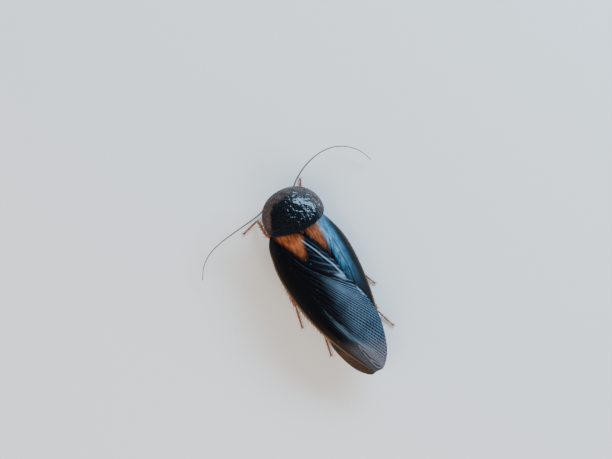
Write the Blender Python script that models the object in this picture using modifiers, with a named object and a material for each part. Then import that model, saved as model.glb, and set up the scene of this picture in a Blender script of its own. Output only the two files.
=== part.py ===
"""A life-size winged male wood cockroach (Blaptica dubia) at rest, as separate closed solids.

The head points along -Y, +X is the animal's left and +Z is up. The origin lies on the floor
under the middle of the model. Sizes are in millimetres, counted along the body from the front
edge of the pronotum, and placed() turns them into metres in the model's frame.
"""

import math

import bmesh
import bpy
import numpy as np
from mathutils import Matrix, Vector

MM = 0.001
MIDDLE = 20.04
ACROSS = Vector((1, 0, 0))
ALONG = Vector((0, 1, 0))
UPRIGHT = Vector((0, 0, 1))

GAP = 0.3
SKIN = 0.5
LAYER = SKIN + GAP + 0.1
NECK_TURN = math.radians(-5.0)
NECK = (0.0, 10.2, 6.0)

PRONOTUM_CENTRE = 6.2
PRONOTUM_HALF_WIDTH = 6.75
PRONOTUM_FRONT = 6.2
PRONOTUM_REAR = 3.25
PRONOTUM_TOP = 9.45
PRONOTUM_FRONT_DROP = 3.8
PRONOTUM_SIDE_DROP = 3.3
PRONOTUM_REAR_DROP = 0.8
PRONOTUM_FALL = 2.2
PRONOTUM_POWER_FRONT = 2.15
PRONOTUM_POWER_REAR = 2.35
PRONOTUM_RINGS = 8
PRONOTUM_SPOKES = 32
BRIM_SPAN = (0.86, 0.97)
BRIM_RISE = 0.1

# Height of the closed wings along the back, and how far and how wide they arch down at the sides.
CREST = ((8.0, 7.5), (12.0, 8.15), (17.0, 8.75), (24.0, 8.55), (32.0, 7.35), (38.0, 5.75), (43.0, 4.35))
ARCH_DROP = ((8.0, 3.0), (17.0, 3.6), (24.0, 3.5), (32.0, 2.6), (43.0, 1.3))
ARCH_REACH = ((8.0, 6.2), (9.7, 6.6), (13.0, 7.7), (18.0, 8.2), (24.0, 7.95), (30.0, 7.3), (36.0, 6.3), (43.0, 5.0))
ARCH_POWER = 3.0

# A forewing as rows of veins. Each row leaves the costal margin, crosses the radial stem and
# sweeps back to the inner margin: share of the wing, costal point, stem point, inner point.
FORE_ROWS = (
    (0.00, (5.90, 7.50), (4.40, 7.60), (-1.10, 12.70)),
    (0.10, (7.10, 9.90), (4.70, 9.50), (-2.70, 17.50)),
    (0.20, (7.85, 12.60), (4.90, 11.60), (-4.05, 22.90)),
    (0.27, (8.20, 14.40), (5.05, 12.90), (-5.50, 26.70)),
    (0.35, (8.35, 16.60), (5.20, 14.30), (-6.15, 30.50)),
    (0.42, (8.30, 18.60), (5.25, 15.90), (-6.10, 33.20)),
    (0.52, (8.10, 21.40), (5.20, 18.00), (-5.50, 36.30)),
    (0.60, (7.75, 24.00), (5.05, 20.50), (-4.85, 38.50)),
    (0.69, (7.10, 27.40), (4.70, 22.90), (-4.00, 40.35)),
    (0.78, (6.10, 31.00), (3.75, 27.20), (-3.05, 41.65)),
    (0.89, (4.15, 35.90), (1.90, 33.40), (-2.20, 42.50)),
    (1.00, (1.10, 41.60), (-0.20, 42.80), (-1.50, 42.95)),
)
FORE_BEND_ROOT = (1.00, 7.60)
FORE_BEND_FURROW = (3.10, 19.60)
FURROW_STEM = FORE_ROWS[2][2]
FURROW_SHARE = 0.2
FURROW_FADE = 0.2
FORE_BOW = 0.9
FORE_VEIN_ROWS = 28
COSTAL_COLUMNS = 3
DISC_COLUMNS = 10
COSTAL_PART = COSTAL_COLUMNS / (COSTAL_COLUMNS + DISC_COLUMNS)
VEIN_RISE = 0.16
VEIN_SHARPNESS = math.radians(14)
STEM_RISE = 0.22
UNDER_WING_TURN = math.radians(1.0)
UNDER_WING_LIFT = 0.6
UNDER_WING_LIFT_SPAN = (0.8, 1.0)

# A folded hindwing as rows across it: distance along the body, costal edge, inner edge.
HIND_ROWS = (
    (15.3, 4.9, -0.3),
    (18.5, 6.1, -1.6),
    (23.0, 6.5, -2.2),
    (28.0, 6.4, -2.4),
    (33.0, 5.8, -2.3),
    (37.0, 4.85, -1.8),
    (39.8, 3.6, -0.9),
    (41.7, 1.7, 0.4),
)
HIND_STEPS = 15
HIND_PLEATS = 8
PLEAT_RISE = 0.12
PLEAT_CLEAR = 0.02
HIND_OVERLAP = (3.0, 4.6)

# The small plate between the wing bases: its left front corner and its tip seen from above, and
# rings of it as height over its top and size.
SCUTELLUM_CORNER = (0.95, 8.6)
SCUTELLUM_TIP = (0.0, 10.1)
SCUTELLUM_TOP = 8.0
SCUTELLUM_RINGS = ((-2.6, 1.0), (-0.15, 1.0), (0.0, 0.8))

# The prothorax as rings: distance along the body, half width, floor and lid.
PROTHORAX_RINGS = (
    (5.25, 1.7, 5.1, 7.2),
    (5.6, 2.7, 4.6, 7.9),
    (6.2, 3.3, 4.25, 8.2),
    (6.8, 3.4, 4.1, 7.9),
    (7.25, 2.7, 4.2, 6.9),
)
PROTHORAX_SIDES = 18
MESOTHORAX = (7.6, 14.75)
MESOTHORAX_HALF_WIDTHS = (3.2, 5.0, 5.2)
MESOTHORAX_FRONT_LIFT = 0.8
METATHORAX = (15.05, 19.2)
METATHORAX_HALF_WIDTHS = (5.1, 5.0, 4.9)
THORAX_STEPS = 5
THORAX_BELLY = 3.5
THORAX_BELLY_RISE = 0.1
TRUNK_SIDES = 22
LID_CLEAR = 0.05
ABDOMEN_START = 19.55
ABDOMEN_END = 35.1
ABDOMEN_SEGMENTS = 8
ABDOMEN_HALF_WIDTH = ((19.5, 5.2), (23.0, 5.6), (27.0, 5.5), (31.0, 4.7), (34.0, 3.2), (35.2, 1.9))
ABDOMEN_BELLY = ((19.5, 3.6), (22.0, 2.9), (24.5, 1.95), (27.0, 1.4), (31.0, 1.3), (35.2, 1.9))
ABDOMEN_EDGE = 0.75
ABDOMEN_POWER = 2.3
ABDOMEN_CURL = 2.2
PLATE_STEP = 0.16
PLATE_RINGS = ((0.0, 1.0), (0.25, 0.35), (0.97, 0.0))

CERCUS_ROOT = (2.85, 34.95, 2.25)
CERCUS_TIP = (4.1, 37.9, 1.45)
CERCUS_RADIUS = (0.10, 0.36)
CERCUS_STEPS = 13
CERCUS_WAIST = 0.86
CERCUS_FLATNESS = 0.8

# The head and its lip from the chin up: height, distance along the body, half width, half depth.
HEAD_SECTIONS = (
    (2.10, 4.15, 0.95, 0.55),
    (2.60, 4.10, 1.35, 0.80),
    (3.40, 3.95, 1.75, 1.00),
    (4.40, 3.75, 2.15, 1.20),
    (5.40, 3.60, 2.40, 1.32),
    (6.30, 3.50, 2.25, 1.20),
    (6.95, 3.45, 1.75, 0.90),
    (7.30, 3.45, 0.95, 0.50),
)
HEAD_SIDES = 20
HEAD_POWER = 2.3
LABRUM_SECTIONS = (
    (3.35, 2.36, 1.10, 0.28),
    (2.75, 2.56, 1.20, 0.32),
    (2.15, 2.84, 1.05, 0.30),
    (1.75, 3.10, 0.60, 0.20),
)
LABRUM_SIDES = 12
EYE_CENTRE = (2.05, 3.05, 5.85)
EYE_SIZE = (0.52, 0.62, 1.05)
EYE_LEAN = math.radians(16.0)

# The legs, with x counted outwards from the midline on the leg's own side.
COXA = {
    "fore": ((2.55, 5.75, 3.75), (1.55, 9.35, 2.85)),
    "mid": ((4.40, 11.40, 3.10), (1.60, 15.20, 2.75)),
    "hind": ((4.50, 16.30, 3.10), (1.60, 20.90, 2.65)),
}
LEG_POSE = {
    ("fore", "left"): ((5.95, 6.90, 2.10), (5.60, 3.30, 0.75), (9.35, 4.35)),
    ("fore", "right"): ((5.90, 7.20, 2.10), (5.00, 3.70, 0.75), (6.70, 0.25)),
    ("mid", "left"): ((7.55, 17.60, 2.15), (7.50, 22.90, 0.75), (8.40, 27.3)),
    ("mid", "right"): ((7.65, 17.30, 2.15), (8.10, 22.60, 0.75), (9.80, 26.8)),
    ("hind", "left"): ((7.15, 24.40, 2.20), (5.05, 30.90, 0.75), (5.90, 35.4)),
    ("hind", "right"): ((7.30, 24.60, 2.20), (7.30, 32.10, 0.75), (8.90, 36.5)),
}
# Limb joints as shares of their length, with their half width and half height there.
COXA_PROFILE = (
    (0.0, 0.75, 0.36), (0.12, 1.12, 0.50), (0.45, 1.22, 0.52), (0.8, 0.95, 0.44), (1.0, 0.5, 0.28),
)
COXA_SIDES = 12
FEMUR_PROFILE = (
    (0.0, 0.40, 0.45), (0.1, 0.55, 0.60), (0.25, 0.92, 0.92), (0.5, 1.0, 1.0),
    (0.78, 0.82, 0.88), (0.93, 0.62, 0.72), (1.0, 0.40, 0.45),
)
FEMUR_SIZE = {"fore": (0.85, 0.55), "mid": (0.90, 0.60), "hind": (0.98, 0.60)}
FEMUR_SIDES = 10
FEMUR_START = (0.25, 1.5)
FEMUR_SAG = 0.22
FEMUR_SPINES = (0.42, 0.60, 0.78)
FEMUR_SPINE_LENGTH = 0.85
KNEE_CLEAR = (0.46, 0.30)
TIBIA_PROFILE = ((0.0, 0.72), (0.08, 0.92), (0.35, 1.0), (0.7, 1.1), (0.93, 1.18), (1.0, 0.8))
TIBIA_RADIUS = {"fore": 0.36, "mid": 0.36, "hind": 0.38}
TIBIA_SIDES = 9
TIBIA_SPINES = {"fore": 5, "mid": 6, "hind": 8}
TIBIA_SPINE_SPAN = (0.16, 0.86)
TIBIA_SPINE_TURNS = ((0, 180), (25, 155, 270))
UNDER_TURN = 270
UNDER_SPINE_HEIGHT = 1.5
ANKLE_CLEAR = 0.12
SPINE_LENGTH = 0.95
SPINE_RADIUS = 0.17
SPINE_FLOOR = 0.25
SPINE_TAPER = 0.12
TARSUS_JOINTS = (0.0, 0.36, 0.54, 0.68, 0.8, 1.0)
TARSUS_PROFILE = ((0.03, 0.78), (0.5, 0.92), (0.93, 1.16))
TARSUS_SIDES = 8
TARSUS_RADIUS = 0.27
TARSUS_LIFT = 0.24
TARSUS_START_HEIGHT = 0.55
TARSUS_CLEAR = 0.2
TARSUS_TURN_CLEAR = 0.55
CLAW_LENGTH = 0.75
CLAW_RADIUS = 0.16
CLAW_HEIGHT = 0.1

# The antennae before the neck is turned, in the same way as the head.
ANTENNA_ROOT = (1.05, 1.95, 5.25)
ANTENNA_ELBOW = (2.0, 1.3, 4.85)
ANTENNA_PATH = {
    "left": (
        (2.47, 1.20, 4.75), (4.0, 1.95, 4.5), (6.3, 2.95, 4.2), (9.2, 3.6, 3.85),
        (12.4, 4.2, 3.3), (15.6, 4.95, 2.7), (18.5, 6.1, 2.05), (20.7, 8.0, 1.5), (22.1, 10.5, 1.1),
    ),
    "right": (
        (2.37, 1.05, 4.75), (4.0, -0.5, 4.5), (6.4, -2.1, 4.25), (9.3, -3.3, 3.9),
        (12.3, -3.8, 3.35), (15.2, -3.5, 2.75), (17.9, -2.3, 2.1), (20.0, -0.4, 1.6), (21.3, 2.0, 1.2),
    ),
}
ANTENNA_RADIUS = 0.28
ANTENNA_TIP_RADIUS = 0.13
ANTENNA_TAPER = 1.3
ANTENNA_STEPS = 40
ANTENNA_BASE_PROFILE = ((0.0, 0.26), (0.15, 0.38), (0.5, 0.42), (0.78, 0.36), (0.84, 0.26), (1.0, 0.30))

PALP_PATHS = {
    "maxillary_palp": (
        (1.75, 3.55, 2.35), (2.35, 3.05, 2.05), (2.45, 2.35, 1.45), (2.05, 1.85, 0.8), (1.6, 1.75, 0.42),
    ),
    "labial_palp": ((0.75, 4.55, 1.65), (1.1, 4.45, 1.15), (1.25, 4.1, 0.7), (1.15, 3.7, 0.42)),
}
PALP_SWELL = (0.9, 1.08, 1.08)
PALP_END = 0.7
PALP_RADIUS = {"maxillary_palp": 0.27, "labial_palp": 0.25}

COLOURS = {
    "cuticle": ((0.035, 0.022, 0.018), 0.25),
    "pronotum": ((0.03, 0.022, 0.02), 0.2),
    "forewing": ((0.055, 0.04, 0.035), 0.3),
    "hindwing": ((0.30, 0.19, 0.11), 0.4),
    "abdomen": ((0.09, 0.045, 0.025), 0.3),
    "leg": ((0.33, 0.13, 0.05), 0.35),
    "eye": ((0.015, 0.012, 0.012), 0.15),
    "antenna": ((0.12, 0.08, 0.06), 0.5),
}


def placed(point):
    """A point of the body, in millimetres, as metres in the model's frame."""
    return Vector((point[0], point[1] - MIDDLE, point[2])) * MM


def mirrored(point, side):
    """A point given for the left side, on the side asked for."""
    return (point[0] if side == "left" else -point[0], *point[1:])


def smooth_between(table, at):
    """The value at a place in a table of (place, value), along a smooth curve through its points."""
    places = [row[0] for row in table]
    values = [np.array(row[1:], float) for row in table]
    k = min(max(int(np.searchsorted(places, at)) - 1, 0), len(places) - 2)
    span = places[k + 1] - places[k]
    t = min(max((at - places[k]) / span, 0.0), 1.0)

    def slope(i):
        low, high = max(i - 1, 0), min(i + 1, len(places) - 1)
        return (values[high] - values[low]) / (places[high] - places[low])

    start, end = slope(k) * span, slope(k + 1) * span
    t2, t3 = t * t, t * t * t
    value = (
        (2 * t3 - 3 * t2 + 1) * values[k]
        + (t3 - 2 * t2 + t) * start
        + (3 * t2 - 2 * t3) * values[k + 1]
        + (t3 - t2) * end
    )
    return float(value[0]) if len(value) == 1 else value


def step_between(low, high, at):
    """0 below low, 1 above high, and a smooth rise between them."""
    t = min(max((at - low) / (high - low), 0.0), 1.0)
    return t * t * (3 - 2 * t)


def material_named(name):
    """The plain material of one kind of surface."""
    found = bpy.data.materials.get(name)
    if found:
        return found
    colour, roughness = COLOURS[name]
    made = bpy.data.materials.new(name)
    made.use_nodes = True
    shader = made.node_tree.nodes["Principled BSDF"]
    shader.inputs["Base Color"].default_value = (*colour, 1.0)
    shader.inputs["Roughness"].default_value = roughness
    shader.inputs["Metallic"].default_value = 0.0
    return made


def object_from(name, mesh_data, material):
    """A new object in the insect's collection, shaded smooth apart from its sharp edges."""
    made = bpy.data.objects.new(name, mesh_data)
    bpy.data.collections["cockroach"].objects.link(made)
    mesh_data.materials.clear()
    mesh_data.materials.append(material_named(material))
    mesh_data.shade_smooth()
    mesh_data.set_sharp_from_angle(angle=math.radians(50))
    return made


def object_from_bmesh(name, bm, material):
    bmesh.ops.recalc_face_normals(bm, faces=bm.faces)
    mesh_data = bpy.data.meshes.new(name)
    bm.to_mesh(mesh_data)
    bm.free()
    return object_from(name, mesh_data, material)


def loft(name, rings, material):
    """A closed skin over rings of points, in body millimetres, with a flat cap on each end."""
    bm = bmesh.new()
    made = [[bm.verts.new(placed(p)) for p in ring] for ring in rings]
    sides = len(made[0])
    for low, high in zip(made, made[1:]):
        for i in range(sides):
            bm.faces.new((low[i], low[(i + 1) % sides], high[(i + 1) % sides], high[i]))
    bm.faces.new(made[0][::-1])
    bm.faces.new(made[-1])
    bmesh.ops.triangulate(bm, faces=bm.faces)
    return object_from_bmesh(name, bm, material)


def oval(centre, across, up, half_width, half_height, sides, power=2.0):
    """A ring of points on an oval, squarer as its power rises."""
    points = []
    for i in range(sides):
        angle = 2 * math.pi * i / sides
        c, s = math.cos(angle), math.sin(angle)
        a = math.copysign(abs(c) ** (2 / power), c) * half_width
        b = math.copysign(abs(s) ** (2 / power), s) * half_height
        points.append(Vector(centre) + across * a + up * b)
    return points


def smooth_path(points, steps):
    """Points spread evenly by number along a smooth curve through the given ones."""
    table = [(i, *p) for i, p in enumerate(points)]
    return [Vector(smooth_between(table, (len(points) - 1) * k / steps)) for k in range(steps + 1)]


def limb_rings(path, widths, heights, sides):
    """Rings square to a path. Widths are level and heights upright, each one for every point."""
    rings = []
    for k, point in enumerate(path):
        ahead = path[min(k + 1, len(path) - 1)]
        behind = path[max(k - 1, 0)]
        along = (ahead - behind).normalized()
        across = along.cross(UPRIGHT).normalized()
        up = across.cross(along)
        rings.append(oval(point, across, up, widths[k], heights[k], sides))
    return rings


def shortened(start, end, by_start, by_end):
    """A straight stretch between two points with its ends drawn back, so that neighbours keep a gap."""
    start, end = Vector(start), Vector(end)
    along = (end - start).normalized()
    return start + along * by_start, end - along * by_end


def cone(name, root, tip, radius, material, sides=5):
    """A spine or claw from its sunk root to its tip."""
    root, tip = placed(root), placed(tip)
    along = tip - root
    bm = bmesh.new()
    turn = along.to_track_quat("Z", "Y").to_matrix().to_4x4()
    bmesh.ops.create_cone(
        bm,
        cap_ends=True,
        segments=sides,
        radius1=radius * MM,
        radius2=radius * MM * SPINE_TAPER,
        depth=along.length,
        matrix=Matrix.Translation((root + tip) / 2) @ turn,
    )
    return object_from_bmesh(name, bm, material)


def applied(obj, modifier):
    """The object with its modifier made part of its mesh."""
    bpy.context.view_layer.update()
    graph = bpy.context.evaluated_depsgraph_get()
    baked = bpy.data.meshes.new_from_object(obj.evaluated_get(graph))
    obj.modifiers.remove(modifier)
    old = obj.data
    obj.data = baked
    bpy.data.meshes.remove(old)
    return obj


def keep_largest(obj):
    """Drops every closed surface of a mesh apart from the largest."""
    bm = bmesh.new()
    bm.from_mesh(obj.data)
    unseen, islands = set(bm.faces), []
    while unseen:
        todo = [unseen.pop()]
        island = []
        while todo:
            face = todo.pop()
            island.append(face)
            near = {other for edge in face.edges for other in edge.link_faces} & unseen
            unseen -= near
            todo += near
        islands.append(island)
    islands.sort(key=lambda faces: sum(f.calc_area() for f in faces))
    loose = [face for island in islands[:-1] for face in island]
    bmesh.ops.delete(bm, geom=loose, context="FACES")
    bm.to_mesh(obj.data)
    bm.free()


def fuse(obj, pieces):
    """Joins closed pieces into an object with one union, and removes them."""
    together = bpy.data.collections.new(obj.name + "_pieces")
    bpy.context.scene.collection.children.link(together)
    for piece in pieces:
        bpy.data.collections["cockroach"].objects.unlink(piece)
        together.objects.link(piece)
    union = obj.modifiers.new("union", "BOOLEAN")
    union.operation = "UNION"
    union.operand_type = "COLLECTION"
    union.collection = together
    union.solver = "EXACT"
    applied(obj, union)
    for piece in pieces:
        bpy.data.objects.remove(piece)
    bpy.data.collections.remove(together)
    keep_largest(obj)
    obj.data.shade_smooth()
    obj.data.set_sharp_from_angle(angle=math.radians(50))
    return obj


def cut(obj, cutter):
    """Takes a cutter's shape out of an object, and removes the cutter."""
    away = obj.modifiers.new("cut", "BOOLEAN")
    away.operation = "DIFFERENCE"
    away.object = cutter
    away.solver = "EXACT"
    applied(obj, away)
    bpy.data.objects.remove(cutter)
    keep_largest(obj)
    return obj


def roof(x, y):
    """Height of the outside of the closed wings."""
    reach = smooth_between(ARCH_REACH, y)
    drop = smooth_between(ARCH_DROP, y)
    return smooth_between(CREST, y) - drop * (abs(x) / reach) ** ARCH_POWER


def below_roof(x, y, depth):
    """Height of a layer that lies a depth inside the closed wings, square to their surface."""
    reach = smooth_between(ARCH_REACH, y)
    drop = smooth_between(ARCH_DROP, y)
    slope = drop * ARCH_POWER / reach * (abs(x) / reach) ** (ARCH_POWER - 1)
    return roof(x, y) - depth * math.hypot(1.0, slope)


def forewing_plan(share, across):
    """A place on the left forewing seen from above. Across runs 0 to 1 from costa to inner margin."""
    row = smooth_between([(r[0], *r[1], *r[2], *r[3]) for r in FORE_ROWS], share)
    costal, stem, inner = Vector(row[0:2]), Vector(row[2:4]), Vector(row[4:6])
    if across <= COSTAL_PART:
        return costal.lerp(stem, across / COSTAL_PART)
    t = (across - COSTAL_PART) / (1 - COSTAL_PART)
    run = inner - stem
    bowed = (stem + inner) / 2 + Vector((run.y, -run.x)).normalized() * FORE_BOW * (1 - share)
    if share < FURROW_SHARE:
        bend = Vector(FORE_BEND_ROOT).lerp(Vector(FORE_BEND_FURROW), share / FURROW_SHARE)
    else:
        settle = step_between(FURROW_SHARE, FURROW_SHARE + FURROW_FADE, share)
        bend = Vector(FORE_BEND_FURROW).lerp(bowed, settle) if settle < 1 else bowed
        bend += (stem - Vector(FURROW_STEM)) * (1 - settle)
    return stem * (1 - t) ** 2 + bend * 2 * t * (1 - t) + inner * t * t


def wing_sheet(name, rows, columns, place, material):
    """A wing grown from a grid: each grid point is set by place(row share, column share), then
    the sheet is split into triangles and given its thickness downwards."""
    bpy.ops.mesh.primitive_grid_add(x_subdivisions=columns, y_subdivisions=rows, size=1)
    grid = bpy.context.object
    bm = bmesh.new()
    bm.from_mesh(grid.data)
    bpy.data.objects.remove(grid)
    for vertex in bm.verts:
        vertex.co = placed(place(vertex.co.y + 0.5, vertex.co.x + 0.5))
    bmesh.ops.triangulate(bm, faces=bm.faces)
    if sum(face.normal.z for face in bm.faces) < 0:
        bmesh.ops.reverse_faces(bm, faces=bm.faces)
    bm.normal_update()
    mesh_data = bpy.data.meshes.new(name)
    bm.to_mesh(mesh_data)
    bm.free()
    wing = object_from(name, mesh_data, material)
    mesh_data.set_sharp_from_angle(angle=VEIN_SHARPNESS)
    wall = wing.modifiers.new("thickness", "SOLIDIFY")
    wall.thickness = SKIN * MM
    wall.offset = -1.0
    wall.use_even_offset = False
    return wing


def forewing(side):
    """A leathery forewing. The left one lies over the right one, as in most cockroaches, and the
    right one comes up again beside it."""
    pivot = Vector(FORE_ROWS[0][2])
    columns = COSTAL_COLUMNS + DISC_COLUMNS

    def place(share, across):
        plan = forewing_plan(share, across)
        depth = 0.0
        row = round(share * FORE_VEIN_ROWS)
        rise = VEIN_RISE * (row % 2) * math.sin(math.pi * across)
        if round(across * columns) == COSTAL_COLUMNS:
            rise = STEM_RISE * math.sin(math.pi * share)
        if side == "right":
            turned = Matrix.Rotation(-UNDER_WING_TURN, 2) @ (plan - pivot) + pivot
            plan = Vector((-turned.x, turned.y))
            out = -plan.x / smooth_between(ARCH_REACH, plan.y)
            depth = LAYER * (1 - UNDER_WING_LIFT * step_between(*UNDER_WING_LIFT_SPAN, out))
        ridge = rise - STEM_RISE / 2
        return (plan.x, plan.y, below_roof(plan.x, plan.y, depth) + ridge)

    return wing_sheet(f"forewing_{side}", FORE_VEIN_ROWS, columns, place, "forewing")


def hindwing(side):
    """A folded hindwing under the forewings, pleated lengthwise. The left one lies on the right one."""

    def place(share, across):
        rows = len(HIND_ROWS) - 1
        table = [(i / rows, *row) for i, row in enumerate(HIND_ROWS)]
        y, costal, inner = smooth_between(table, share)
        x = costal + (inner - costal) * across
        pleat = PLEAT_RISE * (round(across * HIND_PLEATS) % 2)
        depth = 2 * LAYER
        if side == "right":
            depth += LAYER * (1 - step_between(*HIND_OVERLAP, x))
            x = -x
        return (x, y, below_roof(x, y, depth) + pleat - PLEAT_RISE - PLEAT_CLEAR)

    return wing_sheet(f"hindwing_{side}", HIND_STEPS, HIND_PLEATS, place, "hindwing")


def pronotum_height(x, y):
    """Height of the outside of the pronotum over a point of the body."""
    along = (y - PRONOTUM_CENTRE) / (PRONOTUM_REAR if y > PRONOTUM_CENTRE else PRONOTUM_FRONT)
    side = x / PRONOTUM_HALF_WIDTH
    out = math.hypot(along, side)
    if out < 1e-6:
        return PRONOTUM_TOP
    end_drop = PRONOTUM_REAR_DROP if along > 0 else PRONOTUM_FRONT_DROP
    share = (along / out) ** 2
    drop = end_drop * share + PRONOTUM_SIDE_DROP * (1 - share)
    return PRONOTUM_TOP - drop * out**PRONOTUM_FALL


def pronotum():
    """The broad shield over the head: a disc of rings, shaped and given its thickness downwards."""
    bm = bmesh.new()
    bmesh.ops.create_circle(bm, cap_ends=True, cap_tris=True, segments=PRONOTUM_SPOKES, radius=1.0)
    spokes = [e for e in bm.edges if min(v.co.length for v in e.verts) < 0.5]
    bmesh.ops.subdivide_edges(bm, edges=spokes, cuts=PRONOTUM_RINGS - 1, use_grid_fill=True)
    for vertex in bm.verts:
        out = vertex.co.length
        if out < 1e-6:
            x, y = 0.0, PRONOTUM_CENTRE
        else:
            c, s = vertex.co.x / out, vertex.co.y / out
            power = PRONOTUM_POWER_FRONT if s < 0 else PRONOTUM_POWER_REAR
            reach = PRONOTUM_FRONT if s < 0 else PRONOTUM_REAR
            x = math.copysign(abs(c) ** (2 / power), c) * PRONOTUM_HALF_WIDTH * out
            y = PRONOTUM_CENTRE + math.copysign(abs(s) ** (2 / power), s) * reach * out
        height = pronotum_height(x, y)
        brim = BRIM_RISE * step_between(*BRIM_SPAN, out)
        vertex.co = placed((x, y, height + brim))
    bmesh.ops.triangulate(bm, faces=bm.faces)
    bmesh.ops.recalc_face_normals(bm, faces=bm.faces)
    if sum(face.normal.z for face in bm.faces) < 0:
        bmesh.ops.reverse_faces(bm, faces=bm.faces)
    mesh_data = bpy.data.meshes.new("pronotum")
    bm.to_mesh(mesh_data)
    bm.free()
    shield = object_from("pronotum", mesh_data, "pronotum")
    wall = shield.modifiers.new("thickness", "SOLIDIFY")
    wall.thickness = SKIN * MM
    wall.offset = -1.0
    return shield


def trunk_ring(y, half_width, belly, lid, power=2.5):
    """A ring round the body at y, squared off above by lid(x) and below by belly(x)."""
    points = []
    for i in range(TRUNK_SIDES):
        angle = 2 * math.pi * (i + 0.5) / TRUNK_SIDES
        c, s = math.cos(angle), math.sin(angle)
        x = math.copysign(abs(c) ** (2 / power), c) * half_width
        top, bottom = lid(x), belly(x)
        middle = (lid(half_width) + belly(half_width)) / 2
        reach = top - middle if s > 0 else middle - bottom
        z = middle + math.copysign(abs(s) ** (2 / power), s) * max(reach, LID_CLEAR)
        points.append((x, y, min(max(z, bottom), top)))
    return points


def stack_depth(x):
    """Depth of the four wings where both hindwings lie, and of three beside them."""
    return LAYER * (4 - step_between(3.3, 4.8, abs(x))) + LID_CLEAR


def prothorax():
    """The first ring of the thorax, under the pronotum."""
    rings = []
    for y, width, low, high in PROTHORAX_RINGS:
        centre = (0, y, (low + high) / 2)
        half_height = (high - low) / 2
        rings.append(oval(centre, ACROSS, UPRIGHT, width, half_height, PROTHORAX_SIDES, 2.6))
    return loft("prothorax", rings, "cuticle")


def wing_thorax(name, span, half_widths, depth_at, front_lift=0.0):
    """One of the two rings of the thorax that carry the wings."""
    rings = []
    for k in range(THORAX_STEPS + 1):
        t = k / THORAX_STEPS
        y = span[0] + (span[1] - span[0]) * t
        width = smooth_between([(0.0, half_widths[0]), (0.5, half_widths[1]), (1.0, half_widths[2])], t)
        floor = THORAX_BELLY + front_lift * (1 - t) ** 6
        rings.append(
            trunk_ring(
                y,
                width,
                belly=lambda x, f=floor: f + THORAX_BELLY_RISE * abs(x),
                lid=lambda x, y=y: below_roof(x, y, depth_at(x)),
            )
        )
    return loft(name, rings, "cuticle")


def scutellum():
    """The small three-cornered plate that shows between the bases of the forewings."""
    side, front = SCUTELLUM_CORNER
    corners = ((side, front), SCUTELLUM_TIP, (-side, front))
    middle = sum(y for _, y in corners) / 3
    rings = []
    for above, size in SCUTELLUM_RINGS:
        rings.append([(x * size, middle + (y - middle) * size, SCUTELLUM_TOP + above) for x, y in corners])
    return loft("scutellum", rings, "cuticle")


def mesothorax():
    """The ring that carries the forewings, with the small plate that shows between them."""
    ring = wing_thorax(
        "mesothorax",
        MESOTHORAX,
        MESOTHORAX_HALF_WIDTHS,
        lambda x: 2 * LAYER + LID_CLEAR,
        MESOTHORAX_FRONT_LIFT,
    )
    return fuse(ring, [scutellum()])


def abdomen():
    """The belly and back plates, each raised a little over the start of the next."""
    rings = []
    plate = (ABDOMEN_END - ABDOMEN_START) / ABDOMEN_SEGMENTS
    for k in range(ABDOMEN_SEGMENTS):
        for t, sunk in PLATE_RINGS:
            y = ABDOMEN_START + plate * (k + t)
            inset = PLATE_STEP * sunk
            floor = smooth_between(ABDOMEN_BELLY, y) + inset
            width = smooth_between(ABDOMEN_HALF_WIDTH, y) - inset
            edge = below_roof(width, y, stack_depth(width)) - ABDOMEN_EDGE
            curl = max(edge - floor, 0.0)
            rings.append(
                trunk_ring(
                    y,
                    width,
                    belly=lambda x, f=floor, w=width, c=curl: f + c * (abs(x) / w) ** ABDOMEN_CURL,
                    lid=lambda x, y=y, i=inset: below_roof(x, y, stack_depth(x)) - i,
                    power=ABDOMEN_POWER,
                )
            )
    return loft("abdomen", rings, "abdomen")


def cercus(side):
    """A short ringed feeler beside the end of the abdomen."""
    path = smooth_path([mirrored(CERCUS_ROOT, side), mirrored(CERCUS_TIP, side)], CERCUS_STEPS)
    thin, swelling = CERCUS_RADIUS
    sizes = []
    for k in range(len(path)):
        t = k / CERCUS_STEPS
        swell = math.sin(math.pi * (0.12 + 0.88 * t)) ** 0.6 if k < CERCUS_STEPS else 0.0
        sizes.append(thin + swelling * swell * (1.0 if k % 2 else CERCUS_WAIST))
    heights = [size * CERCUS_FLATNESS for size in sizes]
    return loft(f"cercus_{side}", limb_rings(path, sizes, heights, 8), "abdomen")


def level_ovals(sections, sides, power):
    """Level rings of points, one for each height of a table of sections."""
    rings = []
    for z, y, half_width, half_depth in sections:
        rings.append(oval((0, y, z), ACROSS, ALONG, half_width, half_depth, sides, power))
    return rings


def head():
    """The head, hanging under the pronotum, with a socket cut for each eye."""
    made = loft("head", level_ovals(HEAD_SECTIONS, HEAD_SIDES, HEAD_POWER), "cuticle")
    for side in ("left", "right"):
        cut(made, eye_ball(f"socket_{side}", side, GAP))
    return made


def labrum():
    """The upper lip, a small plate that hangs from the front of the face."""
    return loft("labrum", level_ovals(LABRUM_SECTIONS, LABRUM_SIDES, HEAD_POWER), "leg")


def eye_ball(name, side, grow=0.0):
    """A kidney-shaped eye: an upright oval ball."""
    bm = bmesh.new()
    bmesh.ops.create_uvsphere(bm, u_segments=14, v_segments=9, radius=MM)
    sizes = [s + grow for s in EYE_SIZE]
    lean = Matrix.Rotation(EYE_LEAN if side == "left" else -EYE_LEAN, 4, "Y")
    place = Matrix.Translation(placed(mirrored(EYE_CENTRE, side)))
    bmesh.ops.transform(bm, matrix=place @ lean @ Matrix.Diagonal((*sizes, 1.0)), verts=bm.verts)
    return object_from_bmesh(name, bm, "eye")


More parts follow.
